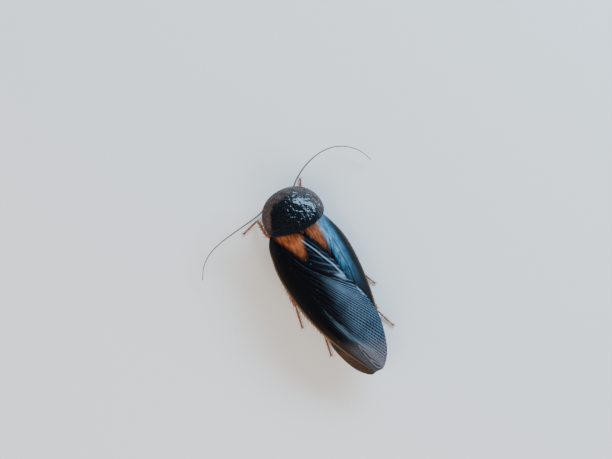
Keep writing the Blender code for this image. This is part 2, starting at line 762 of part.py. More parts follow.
def tube(name, points, radii, material, sides_resolution=1):
    """A round feeler through points, with its own radius at each."""
    line = bpy.data.curves.new(name, "CURVE")
    line.dimensions = "3D"
    line.bevel_depth = MM
    line.bevel_resolution = sides_resolution
    line.use_fill_caps = True
    spline = line.splines.new("POLY")
    spline.points.add(len(points) - 1)
    for target, point, radius in zip(spline.points, points, radii):
        target.co = (*placed(point), 1.0)
        target.radius = radius
    line.materials.append(material_named(material))
    made = bpy.data.objects.new(name, line)
    bpy.data.collections["cockroach"].objects.link(made)
    return made


def antenna(side):
    """Scape and pedicel as one node, and the long flagellum as two more."""
    root, elbow = (Vector(mirrored(p, side)) for p in (ANTENNA_ROOT, ANTENNA_ELBOW))
    base = [root.lerp(elbow, t) for t, _ in ANTENNA_BASE_PROFILE]
    tube(f"antenna_base_{side}", base, [radius for _, radius in ANTENNA_BASE_PROFILE], "antenna")
    path = smooth_path([mirrored(p, side) for p in ANTENNA_PATH[side]], ANTENNA_STEPS)
    radii = []
    for k in range(ANTENNA_STEPS + 1):
        thinned = (k / ANTENNA_STEPS) ** ANTENNA_TAPER
        radii.append(ANTENNA_RADIUS + (ANTENNA_TIP_RADIUS - ANTENNA_RADIUS) * thinned)
    half = ANTENNA_STEPS // 2
    near, far = path[: half + 1], path[half:]
    along = (far[1] - far[0]).normalized()
    far[0] = far[0] + along * GAP
    tube(f"antenna_near_{side}", near, radii[: half + 1], "antenna")
    tube(f"antenna_far_{side}", far, radii[half:], "antenna")


def palp(kind, side):
    """A jointed mouth feeler, thicker in the middle of each joint."""
    points = [mirrored(p, side) for p in PALP_PATHS[kind]]
    steps = len(PALP_SWELL) * (len(points) - 1)
    path = smooth_path(points, steps)
    radius = PALP_RADIUS[kind]
    radii = [radius * PALP_SWELL[k % len(PALP_SWELL)] for k in range(steps + 1)]
    radii[0] = radii[-1] = radius * PALP_END
    tube(f"{kind}_{side}", path, radii, "leg")


def coxa(pair, side):
    """The flat first piece of a leg, which lies along the underside of the thorax."""
    root, tip = (Vector(mirrored(p, side)) for p in COXA[pair])
    shares, widths, heights = zip(*COXA_PROFILE)
    path = [root.lerp(tip, t) for t in shares]
    loft(f"coxa_{pair}_{side}", limb_rings(path, widths, heights, COXA_SIDES), "cuticle")


def femur(pair, side):
    """Thigh: narrow where it leaves the coxa, stout in the middle, with two rows of short spines."""
    knee = Vector(mirrored(LEG_POSE[pair, side][0], side))
    tip = Vector(mirrored(COXA[pair][1], side))
    start = Vector((tip.x, tip.y + FEMUR_START[0], FEMUR_START[1]))
    low, high = shortened(start, knee, 0.0, KNEE_CLEAR[0])
    shares, widths, heights = zip(*FEMUR_PROFILE)
    path = [low.lerp(high, t) - UPRIGHT * FEMUR_SAG * math.sin(math.pi * t) for t in shares]
    width, height = FEMUR_SIZE[pair]
    widths = [width * s for s in widths]
    heights = [height * s for s in heights]
    made = loft(f"femur_{pair}_{side}", limb_rings(path, widths, heights, FEMUR_SIDES), "leg")
    along = (high - low).normalized()
    level = along.cross(UPRIGHT).normalized()
    spines = []
    for k, share in enumerate(FEMUR_SPINES):
        outwards = level * (-1 if k % 2 else 1)
        lean = (outwards * 0.85 + along * 0.8).normalized()
        root = low.lerp(high, share) + outwards * width * 0.62 - UPRIGHT * 0.2
        spines.append(cone("spine", root, root + lean * FEMUR_SPINE_LENGTH, SPINE_RADIUS, "leg"))
    return fuse(made, spines)


def tibia(pair, side):
    """Shin, set round with strong spines that lean towards the foot."""
    knee, ankle = (Vector(mirrored(p, side)) for p in LEG_POSE[pair, side][:2])
    low, high = shortened(knee, ankle, KNEE_CLEAR[1], ANKLE_CLEAR)
    shares, sizes = zip(*TIBIA_PROFILE)
    path = [low.lerp(high, t) for t in shares]
    radius = TIBIA_RADIUS[pair]
    sizes = [radius * s for s in sizes]
    made = loft(f"tibia_{pair}_{side}", limb_rings(path, sizes, sizes, TIBIA_SIDES), "leg")
    along = (high - low).normalized()
    level = along.cross(UPRIGHT).normalized()
    upright = level.cross(along)
    spines = []
    first, last = TIBIA_SPINE_SPAN
    for k in range(TIBIA_SPINES[pair]):
        centre = low.lerp(high, first + (last - first) * k / (TIBIA_SPINES[pair] - 1))
        for turn in TIBIA_SPINE_TURNS[k % 2]:
            if turn == UNDER_TURN and centre.z < UNDER_SPINE_HEIGHT:
                continue
            out = level * math.cos(math.radians(turn)) + upright * math.sin(math.radians(turn))
            root = centre + out * radius * 0.45
            reach = SPINE_LENGTH * (0.85 + 0.15 * math.sin(2.1 * k + turn)) + radius * 0.4
            tip = root + (out * 0.75 + along * 0.85).normalized() * reach
            tip.z = max(tip.z, SPINE_FLOOR)
            spines.append(cone("spine", root, tip, SPINE_RADIUS, "leg"))
    return fuse(made, spines)


def tarsus(pair, side):
    """Foot of five joints with flat soles on the floor, ending in two claws round a pad."""
    ankle, toe = LEG_POSE[pair, side][1:]
    ankle = Vector(mirrored(ankle, side))
    toe = Vector((*mirrored(toe, side), TARSUS_LIFT))
    start = Vector((ankle.x, ankle.y, TARSUS_START_HEIGHT))
    run = Vector((toe.x - start.x, toe.y - start.y, 0)).normalized()
    shin = Vector(mirrored(LEG_POSE[pair, side][0], side)) - ankle
    turned = abs(run.cross(Vector((shin.x, shin.y, 0)).normalized()).z)
    start += run * (TARSUS_CLEAR + TARSUS_TURN_CLEAR * turned)
    path, sizes = [], []
    for low, high in zip(TARSUS_JOINTS, TARSUS_JOINTS[1:]):
        for t, size in TARSUS_PROFILE:
            share = low + (high - low) * t
            point = start.lerp(toe, share)
            point.z = TARSUS_LIFT + (start.z - TARSUS_LIFT) * (1 - share) ** 4
            path.append(point)
            sizes.append(TARSUS_RADIUS * size)
    rings = limb_rings(path, sizes, sizes, TARSUS_SIDES)
    for ring in rings:
        for point in ring:
            point.z = max(point.z, 0.0)
    made = loft(f"tarsus_{pair}_{side}", rings, "leg")
    along = (path[-1] - path[-2]).normalized()
    level = along.cross(UPRIGHT).normalized()
    claws = []
    for sign in (1, -1):
        root = path[-1] - along * 0.12 + level * sign * 0.08
        tip = root + (along * 0.85 + level * sign * 0.6).normalized() * CLAW_LENGTH
        tip.z = CLAW_HEIGHT
        claws.append(cone("claw", root, tip, CLAW_RADIUS, "leg"))
    return fuse(made, claws)


def leg(pair, side):
    coxa(pair, side)
    femur(pair, side)
    tibia(pair, side)
    tarsus(pair, side)


def turn_neck():
    """Turns the head, its feelers and the pronotum a few degrees to the animal's right."""
    neck = bpy.data.objects.new("neck", None)
    neck.location = placed(NECK)
    bpy.data.collections["cockroach"].objects.link(neck)
    bpy.context.view_layer.update()
    carried = ("head", "labrum", "eye", "antenna", "maxillary", "labial", "pronotum")
    for obj in bpy.data.collections["cockroach"].objects:
        if obj.name.startswith(carried):
            obj.parent = neck
            obj.matrix_parent_inverse = neck.matrix_world.inverted()
    neck.rotation_euler.z = NECK_TURN


def main():
    for obj in list(bpy.data.objects):
        bpy.data.objects.remove(obj)
    bpy.context.scene.collection.children.link(bpy.data.collections.new("cockroach"))
    head()
    labrum()
    pronotum()
    prothorax()
    mesothorax()
    wing_thorax("metathorax", METATHORAX, METATHORAX_HALF_WIDTHS, stack_depth)
    abdomen()
    for side in ("left", "right"):
        eye_ball(f"eye_{side}", side)
        antenna(side)
        palp("maxillary_palp", side)
        palp("labial_palp", side)
        cercus(side)
        forewing(side)
        hindwing(side)
        for pair in ("fore", "mid", "hind"):
            leg(pair, side)
    turn_neck()


main()
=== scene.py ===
"""Looks of a life-size winged male wood cockroach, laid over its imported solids.

Places in the tables are millimetres of the animal: x to its left, y back from the front edge of
the pronotum and z up. in_frame() turns them into metres in the frame of the solids.
"""

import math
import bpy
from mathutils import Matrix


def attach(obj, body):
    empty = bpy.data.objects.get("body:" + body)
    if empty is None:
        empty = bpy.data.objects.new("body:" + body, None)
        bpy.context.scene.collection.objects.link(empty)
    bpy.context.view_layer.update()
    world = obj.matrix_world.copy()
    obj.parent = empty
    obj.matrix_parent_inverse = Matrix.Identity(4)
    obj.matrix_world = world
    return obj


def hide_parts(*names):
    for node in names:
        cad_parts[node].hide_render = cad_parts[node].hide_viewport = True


bl_info = {
    "name": "Wood Cockroach",
    "version": (1, 0, 0),
    "blender": (4, 5, 0),
    "location": "View3D > Sidebar > Cockroach",
    "description": "Models and dresses a winged male wood cockroach over its solid frame",
    "category": "Add Mesh",
}

import bpy
import numpy as np
from bpy.props import FloatProperty, FloatVectorProperty, IntProperty, PointerProperty
from mathutils import Matrix, Vector, noise

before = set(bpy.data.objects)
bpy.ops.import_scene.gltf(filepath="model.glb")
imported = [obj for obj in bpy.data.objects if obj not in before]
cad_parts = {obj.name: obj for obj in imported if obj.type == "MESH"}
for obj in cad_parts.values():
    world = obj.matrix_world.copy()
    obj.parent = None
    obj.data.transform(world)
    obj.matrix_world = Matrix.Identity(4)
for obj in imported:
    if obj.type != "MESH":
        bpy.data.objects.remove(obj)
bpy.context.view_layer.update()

MM = 0.001
MIDDLE = 20.04
SIDES = ("left", "right")
PAIRS = ("fore", "mid", "hind")
NECK = (0.0, 10.2)
NECK_TURN = math.radians(-5.0)

# How far from its ends a limb starts to close, and the share of its size that is left at its poles.
LIMB_CLOSING = 0.06
POLE = 0.02

# The pronotum, whose outline is a squared oval with its centre PRONOTUM_CENTRE back.
PRONOTUM_CENTRE = 6.2
PRONOTUM_POWER_FRONT = 2.15
PRONOTUM_POWER_REAR = 2.35
PRONOTUM_FRONT_DROP = 3.8
PRONOTUM_SIDE_DROP = 3.3
PRONOTUM_REAR_DROP = 0.8
PRONOTUM_FALL = 2.2

# Its forms. The brim starts at BRIM_START of the way out in front and BRIM_NARROWS later behind, rises
# to its rim and has a groove inside it. Two dents and a line mark the disc, between the wrinkles.
# Here and below, three numbers for a ridge or groove are its height or depth, its place and its
# width, and two numbers for a span are where something starts and where it is full.
SHIELD_GRID = (128, 44)
FRONT_SPAN = (0.55, -0.1)
BRIM_START = 0.75
BRIM_NARROWS = 0.13
BRIM_NARROWS_SPAN = (4.6, 7.6)
BRIM_RISE = 0.10
BRIM_RISE_SPAN = (0.82, 0.95)
RIM = (0.05, 0.985, 0.014)
GROOVE_DEPTH = 0.08
GROOVE_WIDTH = 0.05
DENT_ACROSS = (0.16, 2.9, 0.9)
DENT_ALONG = (1.0, 6.6, 1.5)
MIDLINE = (0.05, 0.0, 0.12)
MIDLINE_SPAN = (3.0, 4.5)
PATCH_SIZE = 3.2
PATCH_SPAN = (-0.25, 0.35)
WRINKLE_SIZE = 0.95
WRINKLE_SPAN = (0.84, 0.5)
WRINKLE_SHARPNESS = 3.0
WRINKLE_LEAST = 0.25
SHIELD_DUST = (0.45, 0.42, 0.40)

# Height of the closed wings along the back, and how far and how wide they arch down at the sides.
CREST = ((8.0, 7.5), (12.0, 8.15), (17.0, 8.75), (24.0, 8.55), (32.0, 7.35), (38.0, 5.75), (43.0, 4.35))
ARCH_DROP = ((8.0, 3.0), (17.0, 3.6), (24.0, 3.5), (32.0, 2.6), (43.0, 1.3))
ARCH_REACH = (
    (8.0, 6.2), (9.7, 6.6), (13.0, 7.7), (18.0, 8.2), (24.0, 7.95), (30.0, 7.3), (36.0, 6.3), (43.0, 5.0),
)
ARCH_POWER = 3.0

# A forewing as rows of veins: share of the wing, then x and y of the row's costal, stem and inner points.
FORE_ROWS = (
    (0.00, 5.90, 7.50, 4.40, 7.60, -1.10, 12.70),
    (0.10, 7.10, 9.90, 4.70, 9.50, -2.65, 17.50),
    (0.20, 7.85, 12.60, 4.90, 11.60, -3.85, 22.90),
    (0.27, 8.20, 14.40, 5.05, 12.90, -5.10, 26.70),
    (0.35, 8.35, 16.60, 5.20, 14.30, -5.90, 30.50),
    (0.42, 8.30, 18.60, 5.25, 15.90, -6.10, 33.20),
    (0.52, 8.10, 21.40, 5.20, 18.00, -5.50, 36.30),
    (0.60, 7.75, 24.00, 5.05, 20.50, -4.85, 38.50),
    (0.69, 7.10, 27.40, 4.70, 22.90, -4.00, 40.35),
    (0.78, 6.10, 31.00, 3.75, 27.20, -3.05, 41.65),
    (0.89, 4.15, 35.90, 1.90, 33.40, -2.20, 42.50),
    (1.00, 1.10, 41.60, -0.20, 42.80, -1.50, 42.95),
)
FORE_BEND_ROOT = np.array((1.00, 7.60))
FORE_BEND_FURROW = np.array((3.10, 19.60))
FURROW_SHARE = 0.2
FURROW_FADE = 0.2
FORE_BOW = 0.9
COSTAL_PART = 3 / 13
UNDER_WING_TURN = math.radians(1.0)
UNDER_WING_DEPTH = 0.45
UNDER_WING_LIFT = 0.6
UNDER_WING_LIFT_SPAN = (0.8, 1.0)

# Rust patches on the wing bases, three corners each, and the raised line of the clavus, whose pale colour
# is a painted highlight along its ridge, with the pale corner that it ends in.
RUST_CORNERS = {
    "left": ((5.6, 7.7), (0.1, 10.0), (2.4, 15.6)),
    "right": ((0.1, 8.8), (-4.8, 8.8), (-3.0, 16.8)),
}
RUST_STRENGTH = {"left": 1.0, "right": 0.78}
CLAVUS_LINE = (
    (1.05, 11.2), (0.7, 12.0), (-0.3, 14.2), (-1.1, 16.3), (-2.0, 18.4), (-2.7, 20.7), (-3.1, 22.2),
)
CLAVUS_CORNER = ((-1.4, 20.6), (-2.9, 21.2), (-2.9, 22.7))
SUTURE = tuple(row[5:7] for row in FORE_ROWS[:4])
MARGIN_LINE = ((-4.35, 25.2), (-5.0, 27.3))
# The line of a painted highlight that runs beside the stem and bends towards the inner margin.
STEM_HIGHLIGHT_LINE = ((4.1, 26.3), (3.0, 30.2), (1.85, 33.6), (0.1, 36.6), (-1.5, 38.6))
CROSS_VEINS = 34
VEIN_SKEW = 0.11
VEIN_SKEW_END = 0.6
STEM_WIDTH = 0.016
TIP_SPAN = (34.0, 41.5)
TIP_SLANT = 3.0
WING_DUST = (0.34, 0.42, 0.50)

# Relief of a forewing, with places and widths as shares of the wing or in millimetres. The veins are
# lower on the leathery base, and twigs slant through the costal field.
WING_GRID = (96, 340)
EDGE_BEAD = (0.05, 0.0, 0.02)
CLAVUS_RIDGE = (0.08, 0.0, 0.13)
FURROW = (0.14, FURROW_SHARE, 0.008)
FURROW_LIP = (0.06, FURROW_SHARE + 0.016, 0.010)
BEHIND_STEM = (COSTAL_PART, COSTAL_PART + 0.2)
WING_SEAT = 0.16
SUTURE_DIP = 0.10
SUTURE_SPAN = (1.0, 0.2)
TWIGS = 35
TWIG_SLANT = 24
TWIG_RISE = 0.25
BASE_VEINS = 0.35
BASE_SPAN = (FURROW_SHARE - 0.1, FURROW_SHARE + 0.04)
TWIG_SPANS = ((0.02, 0.06), (COSTAL_PART, 0.17))

# Masks of a forewing. A painted sheen, reflected light painted into the colour, lies on the upper wing
# along its inner part, the clavus and the streak, where its veins turn steel. Its pale parts are the clavus
# line and the streak, both painted highlights, a faint second line, its corner and the margin.
SHEEN_SPAN = (2.4, -1.6)
SHEEN_START = (FURROW_SHARE, FURROW_SHARE + 0.03)
SHEEN_OFF_SUTURE = (0.15, 0.6)
CLAVUS_SHEEN = 0.6
CLAVUS_SHEEN_SPAN = (3.0, 0.3)
CLAVUS_SHEEN_START = (13.0, 19.0)
STREAK_SHEEN = (0.9, 0.0, 0.6)
STREAK_START = (31.0, 26.0)
PALE_LINE = 0.9
PALE_LINE_WIDTH = 0.06
PALE_LINE_GROWTH = 0.05
PALE_LINE_SPAN = (10.0, 22.0)
PALE_SECOND_LINE = (0.12, 0.72, 0.06)
PALE_CORNER = 0.8
PAINTED_STREAK_HIGHLIGHT = (0.2, 0.0, 0.25)
PALE_MARGIN = (0.9, 0.0, 0.12)
TAN_EDGE = 0.6
TAN_EDGE_SPANS = ((0.10, 0.04), (0.7, 0.9))

# Masks of the lower wing: where its teal, a reflection painted into the colour that fades towards the rear,
# lies by x and y, and its tan by shares of the wing.
TEAL_REFLECTION_SPANS = ((-3.2, -4.0), (-7.2, -5.6), (27.0, 12.0))
UNDER_TAN_SPANS = ((0.66, 0.8), (0.4, 0.55))
UNDER_PALE = 0.2
UNDER_SHEEN = 0.6
UNDER_LINES = 0.7
RUST_SOFTNESS = 1.3

# A folded hindwing as rows across it: distance along the body, costal edge, inner edge. It lies at a
# depth inside the closed forewings.
HIND_ROWS = (
    (15.3, 4.9, -0.3),
    (18.5, 6.1, -1.6),
    (23.0, 6.5, -2.2),
    (28.0, 6.4, -2.4),
    (33.0, 5.8, -2.3),
    (37.0, 4.85, -1.8),
    (39.8, 3.6, -0.9),
    (41.7, 1.7, 0.4),
)
HIND_DEPTH = {"left": 0.9, "right": 1.2}
HIND_SEAT = 0.1
HIND_GRID = (96, 140)
PLEATS = 18
PLEAT_SPREAD = 0.15
PLEAT_DEPTH = 0.06

# The trunk at places along the body: its half width, then the height of its floor. TRUNK_DEPTH is how
# far its back lies inside the closed wings. A hump carries the scutellum and a keel runs below.
TRUNK_HALF_WIDTH = (
    (5.3, 1.6), (6.2, 3.4), (7.6, 4.0), (9.5, 4.7), (12.0, 5.2), (15.0, 5.35), (19.5, 5.4),
    (23.0, 5.7), (27.0, 5.6), (31.0, 4.8), (34.0, 3.3), (35.3, 1.7),
)
TRUNK_FLOOR = (
    (5.3, 5.1), (6.2, 4.3), (8.0, 3.95), (10.0, 3.6), (15.0, 3.5), (19.5, 3.45),
    (22.0, 2.9), (24.5, 1.95), (27.0, 1.4), (31.0, 1.3), (35.3, 1.9),
)
TRUNK_START = 5.3
TRUNK_END = 35.3
TRUNK_DEPTH = 1.75
TRUNK_ROUND = 2.3
TRUNK_RINGS = 190
TRUNK_SIDES = 72
TRUNK_TOP = 8.2
TRUNK_TOP_FALL = 0.6
TRUNK_TOP_SPAN = (8.0, 5.5)
TRUNK_LIP = 0.45
BELLY_CURL = 2.4
HUMP_ACROSS = (0.75, 0.0, 1.1)
HUMP_ALONG = (1.0, 8.9, 1.0)
KEEL = (0.10, 0.0, 1.6)
KEEL_SPAN = (20.0, 23.0)
PLATE_SPAN = (0.0, 0.3)
JOINT_SPAN = (0.14, 0.03)
SIDE_MARK_ACROSS = (1.0, 0.80, 0.12)
SIDE_MARK_ALONG = (1.0, 0.6, 0.25)
SIDE_MARK_SPAN = (19.0, 21.0)
SEGMENT_STARTS = (5.3, 8.2, 14.8, 19.4, 21.3, 23.2, 25.2, 27.2, 29.2, 31.1, 32.8, 34.3)
SCUTELLUM = ((1.15, 8.5), (-1.15, 8.5), (0.0, 10.3))
SCUTELLUM_TOP = 7.95
SCUTELLUM_ROUND = 0.92
SCUTELLUM_SIDES = 36
SCUTELLUM_DOME = (
    (-1.6, 0.9), (-0.25, 1.0), (-0.08, 0.98), (0.0, 0.86), (0.03, 0.6), (0.04, 0.3), (0.04, 0.02),
)

# The collar under the rear of the pronotum: its half width, its front and rear edges, how far it
# stays below the outside of the pronotum, and its depth.
COLLAR_REACH = 5.1
COLLAR_FRONT = 6.0
COLLAR_REAR = 8.95
COLLAR_GAP = 0.62
COLLAR_DEPTH = 2.4
COLLAR_SIDES = 24
COLLAR_RINGS = 49

# The head from the chin up to the crown: height, distance along the body, half width, half depth.
HEAD_SECTIONS = (
    (2.10, 4.15, 0.95, 0.55),
    (2.60, 4.10, 1.35, 0.80),
    (3.40, 3.95, 1.75, 1.00),
    (4.40, 3.75, 2.15, 1.20),
    (5.40, 3.60, 2.40, 1.32),
    (6.30, 3.50, 2.25, 1.20),
    (6.95, 3.45, 1.75, 0.90),
    (7.30, 3.45, 0.95, 0.50),
)
HEAD_MIDDLE = 4.7
HEAD_HALF = 2.6
HEAD_ROUND = 2.3
HEAD_RINGS = 96
HEAD_SIDES = 112
HEAD_CLOSING = 0.1

# The face, whose forms start and are full at FACE_SPAN of the way round from the back. Spots and
# sockets go by the distance from their middle, and brow, lip, temple and cheek line by height.
# CROWN_FORK is the height where the crown's suture forks, its slope and its reach, and LIP_BOW how
# deep and how tight the line over the lip curves.
FACE_SPAN = (0.15, -0.45)
SPOT_PLACE = (0.95, 6.05)
SPOT_DIP = (0.06, 0.0, 0.2)
SPOT_SPAN = (0.25, 0.15)
BROW = (0.12, 4.9, 0.9)
BROW_REACH = 0.9
SOCKET_RIM = (0.13, 0.46, 0.10)
SOCKET_PIT = (0.22, 0.0, 0.3)
SOCKET_PALE = (0.22, 0.5, 0.14)
CROWN_SUTURE = (0.036, 0.0, 0.05)
CROWN_ALONG = (1.0, 6.3, 0.7)
CROWN_FORK = (6.5, 0.55, 0.8)
LIP_LINE = (0.09, 3.72, 0.07)
LIP_BOW = (0.08, 2.2)
LIP_SWELL = (0.07, 3.45, 0.25)
LIP_LINE_SPAN = (1.35, 1.0)
LIP_SWELL_SPAN = (1.4, 1.0)
TEMPLE = (0.12, 4.2, 0.7)
TEMPLE_WIDTH = 0.35
CHEEK_LINE = (0.05, 2.75, 0.06)
CHEEK_SLOPE = 0.5
CHEEK_SPAN = (0.9, 1.2)
SPOT_FRONT = (3.8, 3.2)
MOUTH_SPAN = (3.9, 3.3)
MOUTH_STRENGTH = 0.9

# The jaws, the throat and the lip follow paths downwards, and have half widths and half depths.
JAW_PATH = ((1.25, 3.35, 3.2), (1.15, 3.05, 2.5), (0.75, 2.95, 1.95), (0.3, 3.0, 1.65))
JAW_SIZE = (0.52, 0.416)
THROAT_PATH = ((0, 4.45, 3.1), (0, 4.5, 2.5), (0, 4.3, 1.9), (0, 3.9, 1.55))
THROAT_SIZE = (0.85, 0.3)
LIP_PATH = ((0, 2.78, 3.35), (0, 2.56, 2.75), (0, 2.72, 2.1), (0, 2.98, 1.62))
LIP_SIZE = (1.12, 0.24)

EYE_CENTRE = (2.05, 3.05, 5.85)
EYE_SIZE = (0.56, 0.66, 1.08)
EYE_LEAN = math.radians(16.0)

# The feelers and the palps before the neck is turned, in the same way as the head.
ANTENNA_ROOT = (1.05, 2.05, 5.25)
ANTENNA_ELBOW = (2.0, 1.3, 4.85)
ANTENNA_PATH = {
    "left": (
        (2.15, 1.22, 4.80), (2.47, 1.20, 4.75), (4.0, 1.95, 4.5), (6.3, 2.95, 4.2), (9.2, 3.6, 3.85),
        (12.4, 4.2, 3.3), (15.6, 4.95, 2.7), (18.5, 6.1, 2.05), (20.7, 8.0, 1.5), (22.1, 10.5, 1.1),
    ),
    "right": (
        (2.10, 1.18, 4.80), (2.37, 1.05, 4.75), (4.0, -0.5, 4.5), (6.4, -2.1, 4.25), (9.3, -3.3, 3.9),
        (12.3, -3.8, 3.35), (15.2, -3.5, 2.75), (17.9, -2.3, 2.1), (20.0, -0.4, 1.6), (21.3, 2.0, 1.2),
    ),
}
PALP_PATHS = {
    "maxillary_palp": (
        (1.35, 3.75, 2.75), (1.85, 3.45, 2.30), (2.35, 3.05, 2.05), (2.45, 2.35, 1.45),
        (2.05, 1.85, 0.80), (1.60, 1.75, 0.40),
    ),
    "labial_palp": ((0.45, 4.45, 2.20), (0.85, 4.55, 1.55), (1.20, 4.35, 0.95), (1.15, 3.75, 0.40)),
}
PALP_RADIUS = {"maxillary_palp": 0.25, "labial_palp": 0.21}

# The ringed cerci at the end of the abdomen, and the pegs between them.
CERCUS_PATH = ((2.6, 34.4, 2.3), (3.35, 36.1, 2.0), (4.1, 37.9, 1.45))
CERCUS_RINGS = 12
PEG_ENDS = ((0.8, 34.8, 1.75), (1.1, 35.9, 1.5))

# Half widths and half heights of the limbs' joints at shares of their length, in millimetres or, for
# the thigh, shin, foot and palp joints, in shares of the limb's own size.
SCAPE_PROFILE = ((0, 0.20, 0.20), (0.25, 0.34, 0.34), (0.8, 0.36, 0.36), (1, 0.30, 0.30))
PEDICEL_PROFILE = ((0, 0.2, 0.2), (0.5, 0.27, 0.27), (1, 0.24, 0.24))
PALP_PROFILE = ((0, 0.6, 0.6), (0.65, 1, 1), (1, 0.85, 0.85))
PEG_PROFILE = ((0, 0.13, 0.13), (1, 0.06, 0.06))
COXA_PROFILE = ((0, 0.75, 0.40), (0.2, 1.18, 0.52), (0.5, 1.25, 0.55), (0.85, 0.85, 0.46), (1, 0.55, 0.36))
SWIVEL_PROFILE = ((0, 0.42, 0.42), (0.5, 0.5, 0.5), (1, 0.45, 0.42))
FEMUR_PROFILE = (
    (0, 0.5, 0.6), (0.22, 0.92, 0.95), (0.45, 1, 1), (0.75, 0.8, 0.9), (0.93, 0.6, 0.8), (1, 0.45, 0.62),
)
TIBIA_PROFILE = ((0, 0.75, 0.9), (0.1, 0.85, 1), (0.5, 1, 1), (0.9, 1.2, 1.12), (1, 0.9, 0.9))
FOOT_PROFILE = ((0, 0.6, 0.6), (0.7, 0.95, 0.85), (1, 1.1, 0.8))
PAD_PROFILE = ((0, 0.12, 0.09), (0.5, 0.17, 0.1), (1, 0.12, 0.09))
END_PAD_PROFILE = ((0, 0.12, 0.08), (0.7, 0.22, 0.08), (1, 0.16, 0.06))

# The legs, with x counted outwards from the midline on the leg's own side.
COXA = {
    "fore": ((2.55, 5.75, 3.75), (1.55, 9.35, 2.85)),
    "mid": ((4.40, 11.40, 3.10), (1.60, 15.20, 2.75)),
    "hind": ((4.50, 16.30, 3.10), (1.60, 20.90, 2.65)),
}
LEG_POSE = {
    ("fore", "left"): ((5.95, 6.90, 2.10), (5.60, 3.30, 0.75), (9.35, 4.35)),
    ("fore", "right"): ((5.90, 7.20, 2.10), (5.00, 3.70, 0.75), (6.70, 0.25)),
    ("mid", "left"): ((7.55, 17.60, 2.15), (7.50, 22.90, 0.75), (8.40, 27.3)),
    ("mid", "right"): ((7.65, 17.30, 2.15), (8.10, 22.60, 0.75), (9.80, 26.8)),
    ("hind", "left"): ((7.15, 24.40, 2.20), (5.05, 30.90, 0.75), (5.90, 35.4)),
    ("hind", "right"): ((7.30, 24.60, 2.20), (7.30, 32.10, 0.75), (8.90, 36.5)),
}
FEMUR_SIZE = {"fore": (0.85, 0.55), "mid": (0.90, 0.60), "hind": (0.98, 0.62)}
TIBIA_RADIUS = {"fore": 0.32, "mid": 0.33, "hind": 0.36}
TIBIA_SPINES = {"fore": 5, "mid": 7, "hind": 9}
TIBIA_SPINE_START = 0.14
TIBIA_SPINE_RUN = 0.78
TIBIA_SPINE_TURNS = ((0, 180, 70), (25, 155, 270))
TIBIA_SPINE_RADIUS = 0.085
FEMUR_SPINES = 5
FEMUR_SPINE_START = 0.36
FEMUR_SPINE_STEP = 0.13
FEMUR_SPINE_RADIUS = 0.07
FEMUR_SAG = 0.18
HIP_HEIGHT = 1.75
FOOT_JOINTS = (0.0, 0.40, 0.56, 0.69, 0.80, 1.0)
FOOT_RADIUS = 0.24
TOE_HEIGHT = 0.24
FOOT_HEIGHT = 0.27
PAD_HEIGHT = 0.11
CLAW_HEIGHT = 0.25
CLAW_TIP_HEIGHT = 0.03
CONE_TIP_HEIGHT = 0.05

# The view of the photograph: a point of the animal, its pixel, the scale there and the view's axes.
PHOTO_SIZE = (612, 459)
PHOTO_POINT = (0.0, 19.65, 5.0)
PHOTO_PIXEL = (322.9, 274.4)
PIXELS_PER_MM = 4.822
VIEW_RIGHT = Vector((-0.8504, 0.4869, 0.1991))
VIEW_UP = Vector((-0.4827, -0.8728, 0.0726))

# The lights: direction, width and height in metres, tint, and whether shiny skin mirrors them.
LIGHTS = {
    "key": ((-0.82, -0.38, 0.43), (0.58, 0.13), (0.45, 0.73, 1.0), True),
    "fill": ((0.85, 0.1, 0.6), (0.4, 0.4), (1.0, 0.84, 0.68), False),
    "rim": ((0.1, 0.9, 0.5), (0.3, 0.3), (1.0, 0.95, 0.90), False),
}
LIGHT_DISTANCE = 0.45

# The sky: the share that shiny skin mirrors, and what the camera sees beyond its strength.
SKY_COLOUR = (0.90, 0.95, 1.0, 1.0)
SKY_MIRRORED = 0.15
SKY_SEEN = 0.9
SENSOR_WIDTH = 36.0


def length(name, description, default):
    """A size in metres."""
    return FloatProperty(name=name, description=description, default=default, unit="LENGTH")


def tint(name, description, *default):
    """A colour."""
    return FloatVectorProperty(name=name, description=description, default=default, subtype="COLOR")


def watts(name, description, default):
    """The power of a light."""
    return FloatProperty(name=name, description=description, default=default, unit="POWER")


class ShieldSettings(bpy.types.PropertyGroup):
    """Sizes and colours of the pronotum."""

    half_width: length("Half width", "From the midline to the side edge", 0.00675)
    front: length("Front reach", "From the centre to the front edge", 0.0062)
    rear: length("Rear reach", "From the centre to the rear edge", 0.00325)
    top: length("Height", "Top of the disc over the floor", 0.00938)
    thickness: length("Thickness", "Thickness of the plate", 0.0003)
    wrinkle: length("Wrinkles", "Depth of the wrinkles on the disc", 0.0001)
    disc: tint("Disc", "Colour of the middle", 0.003, 0.004, 0.006)
    brim: tint("Brim", "Colour of the clear edge", 0.048, 0.030, 0.027)


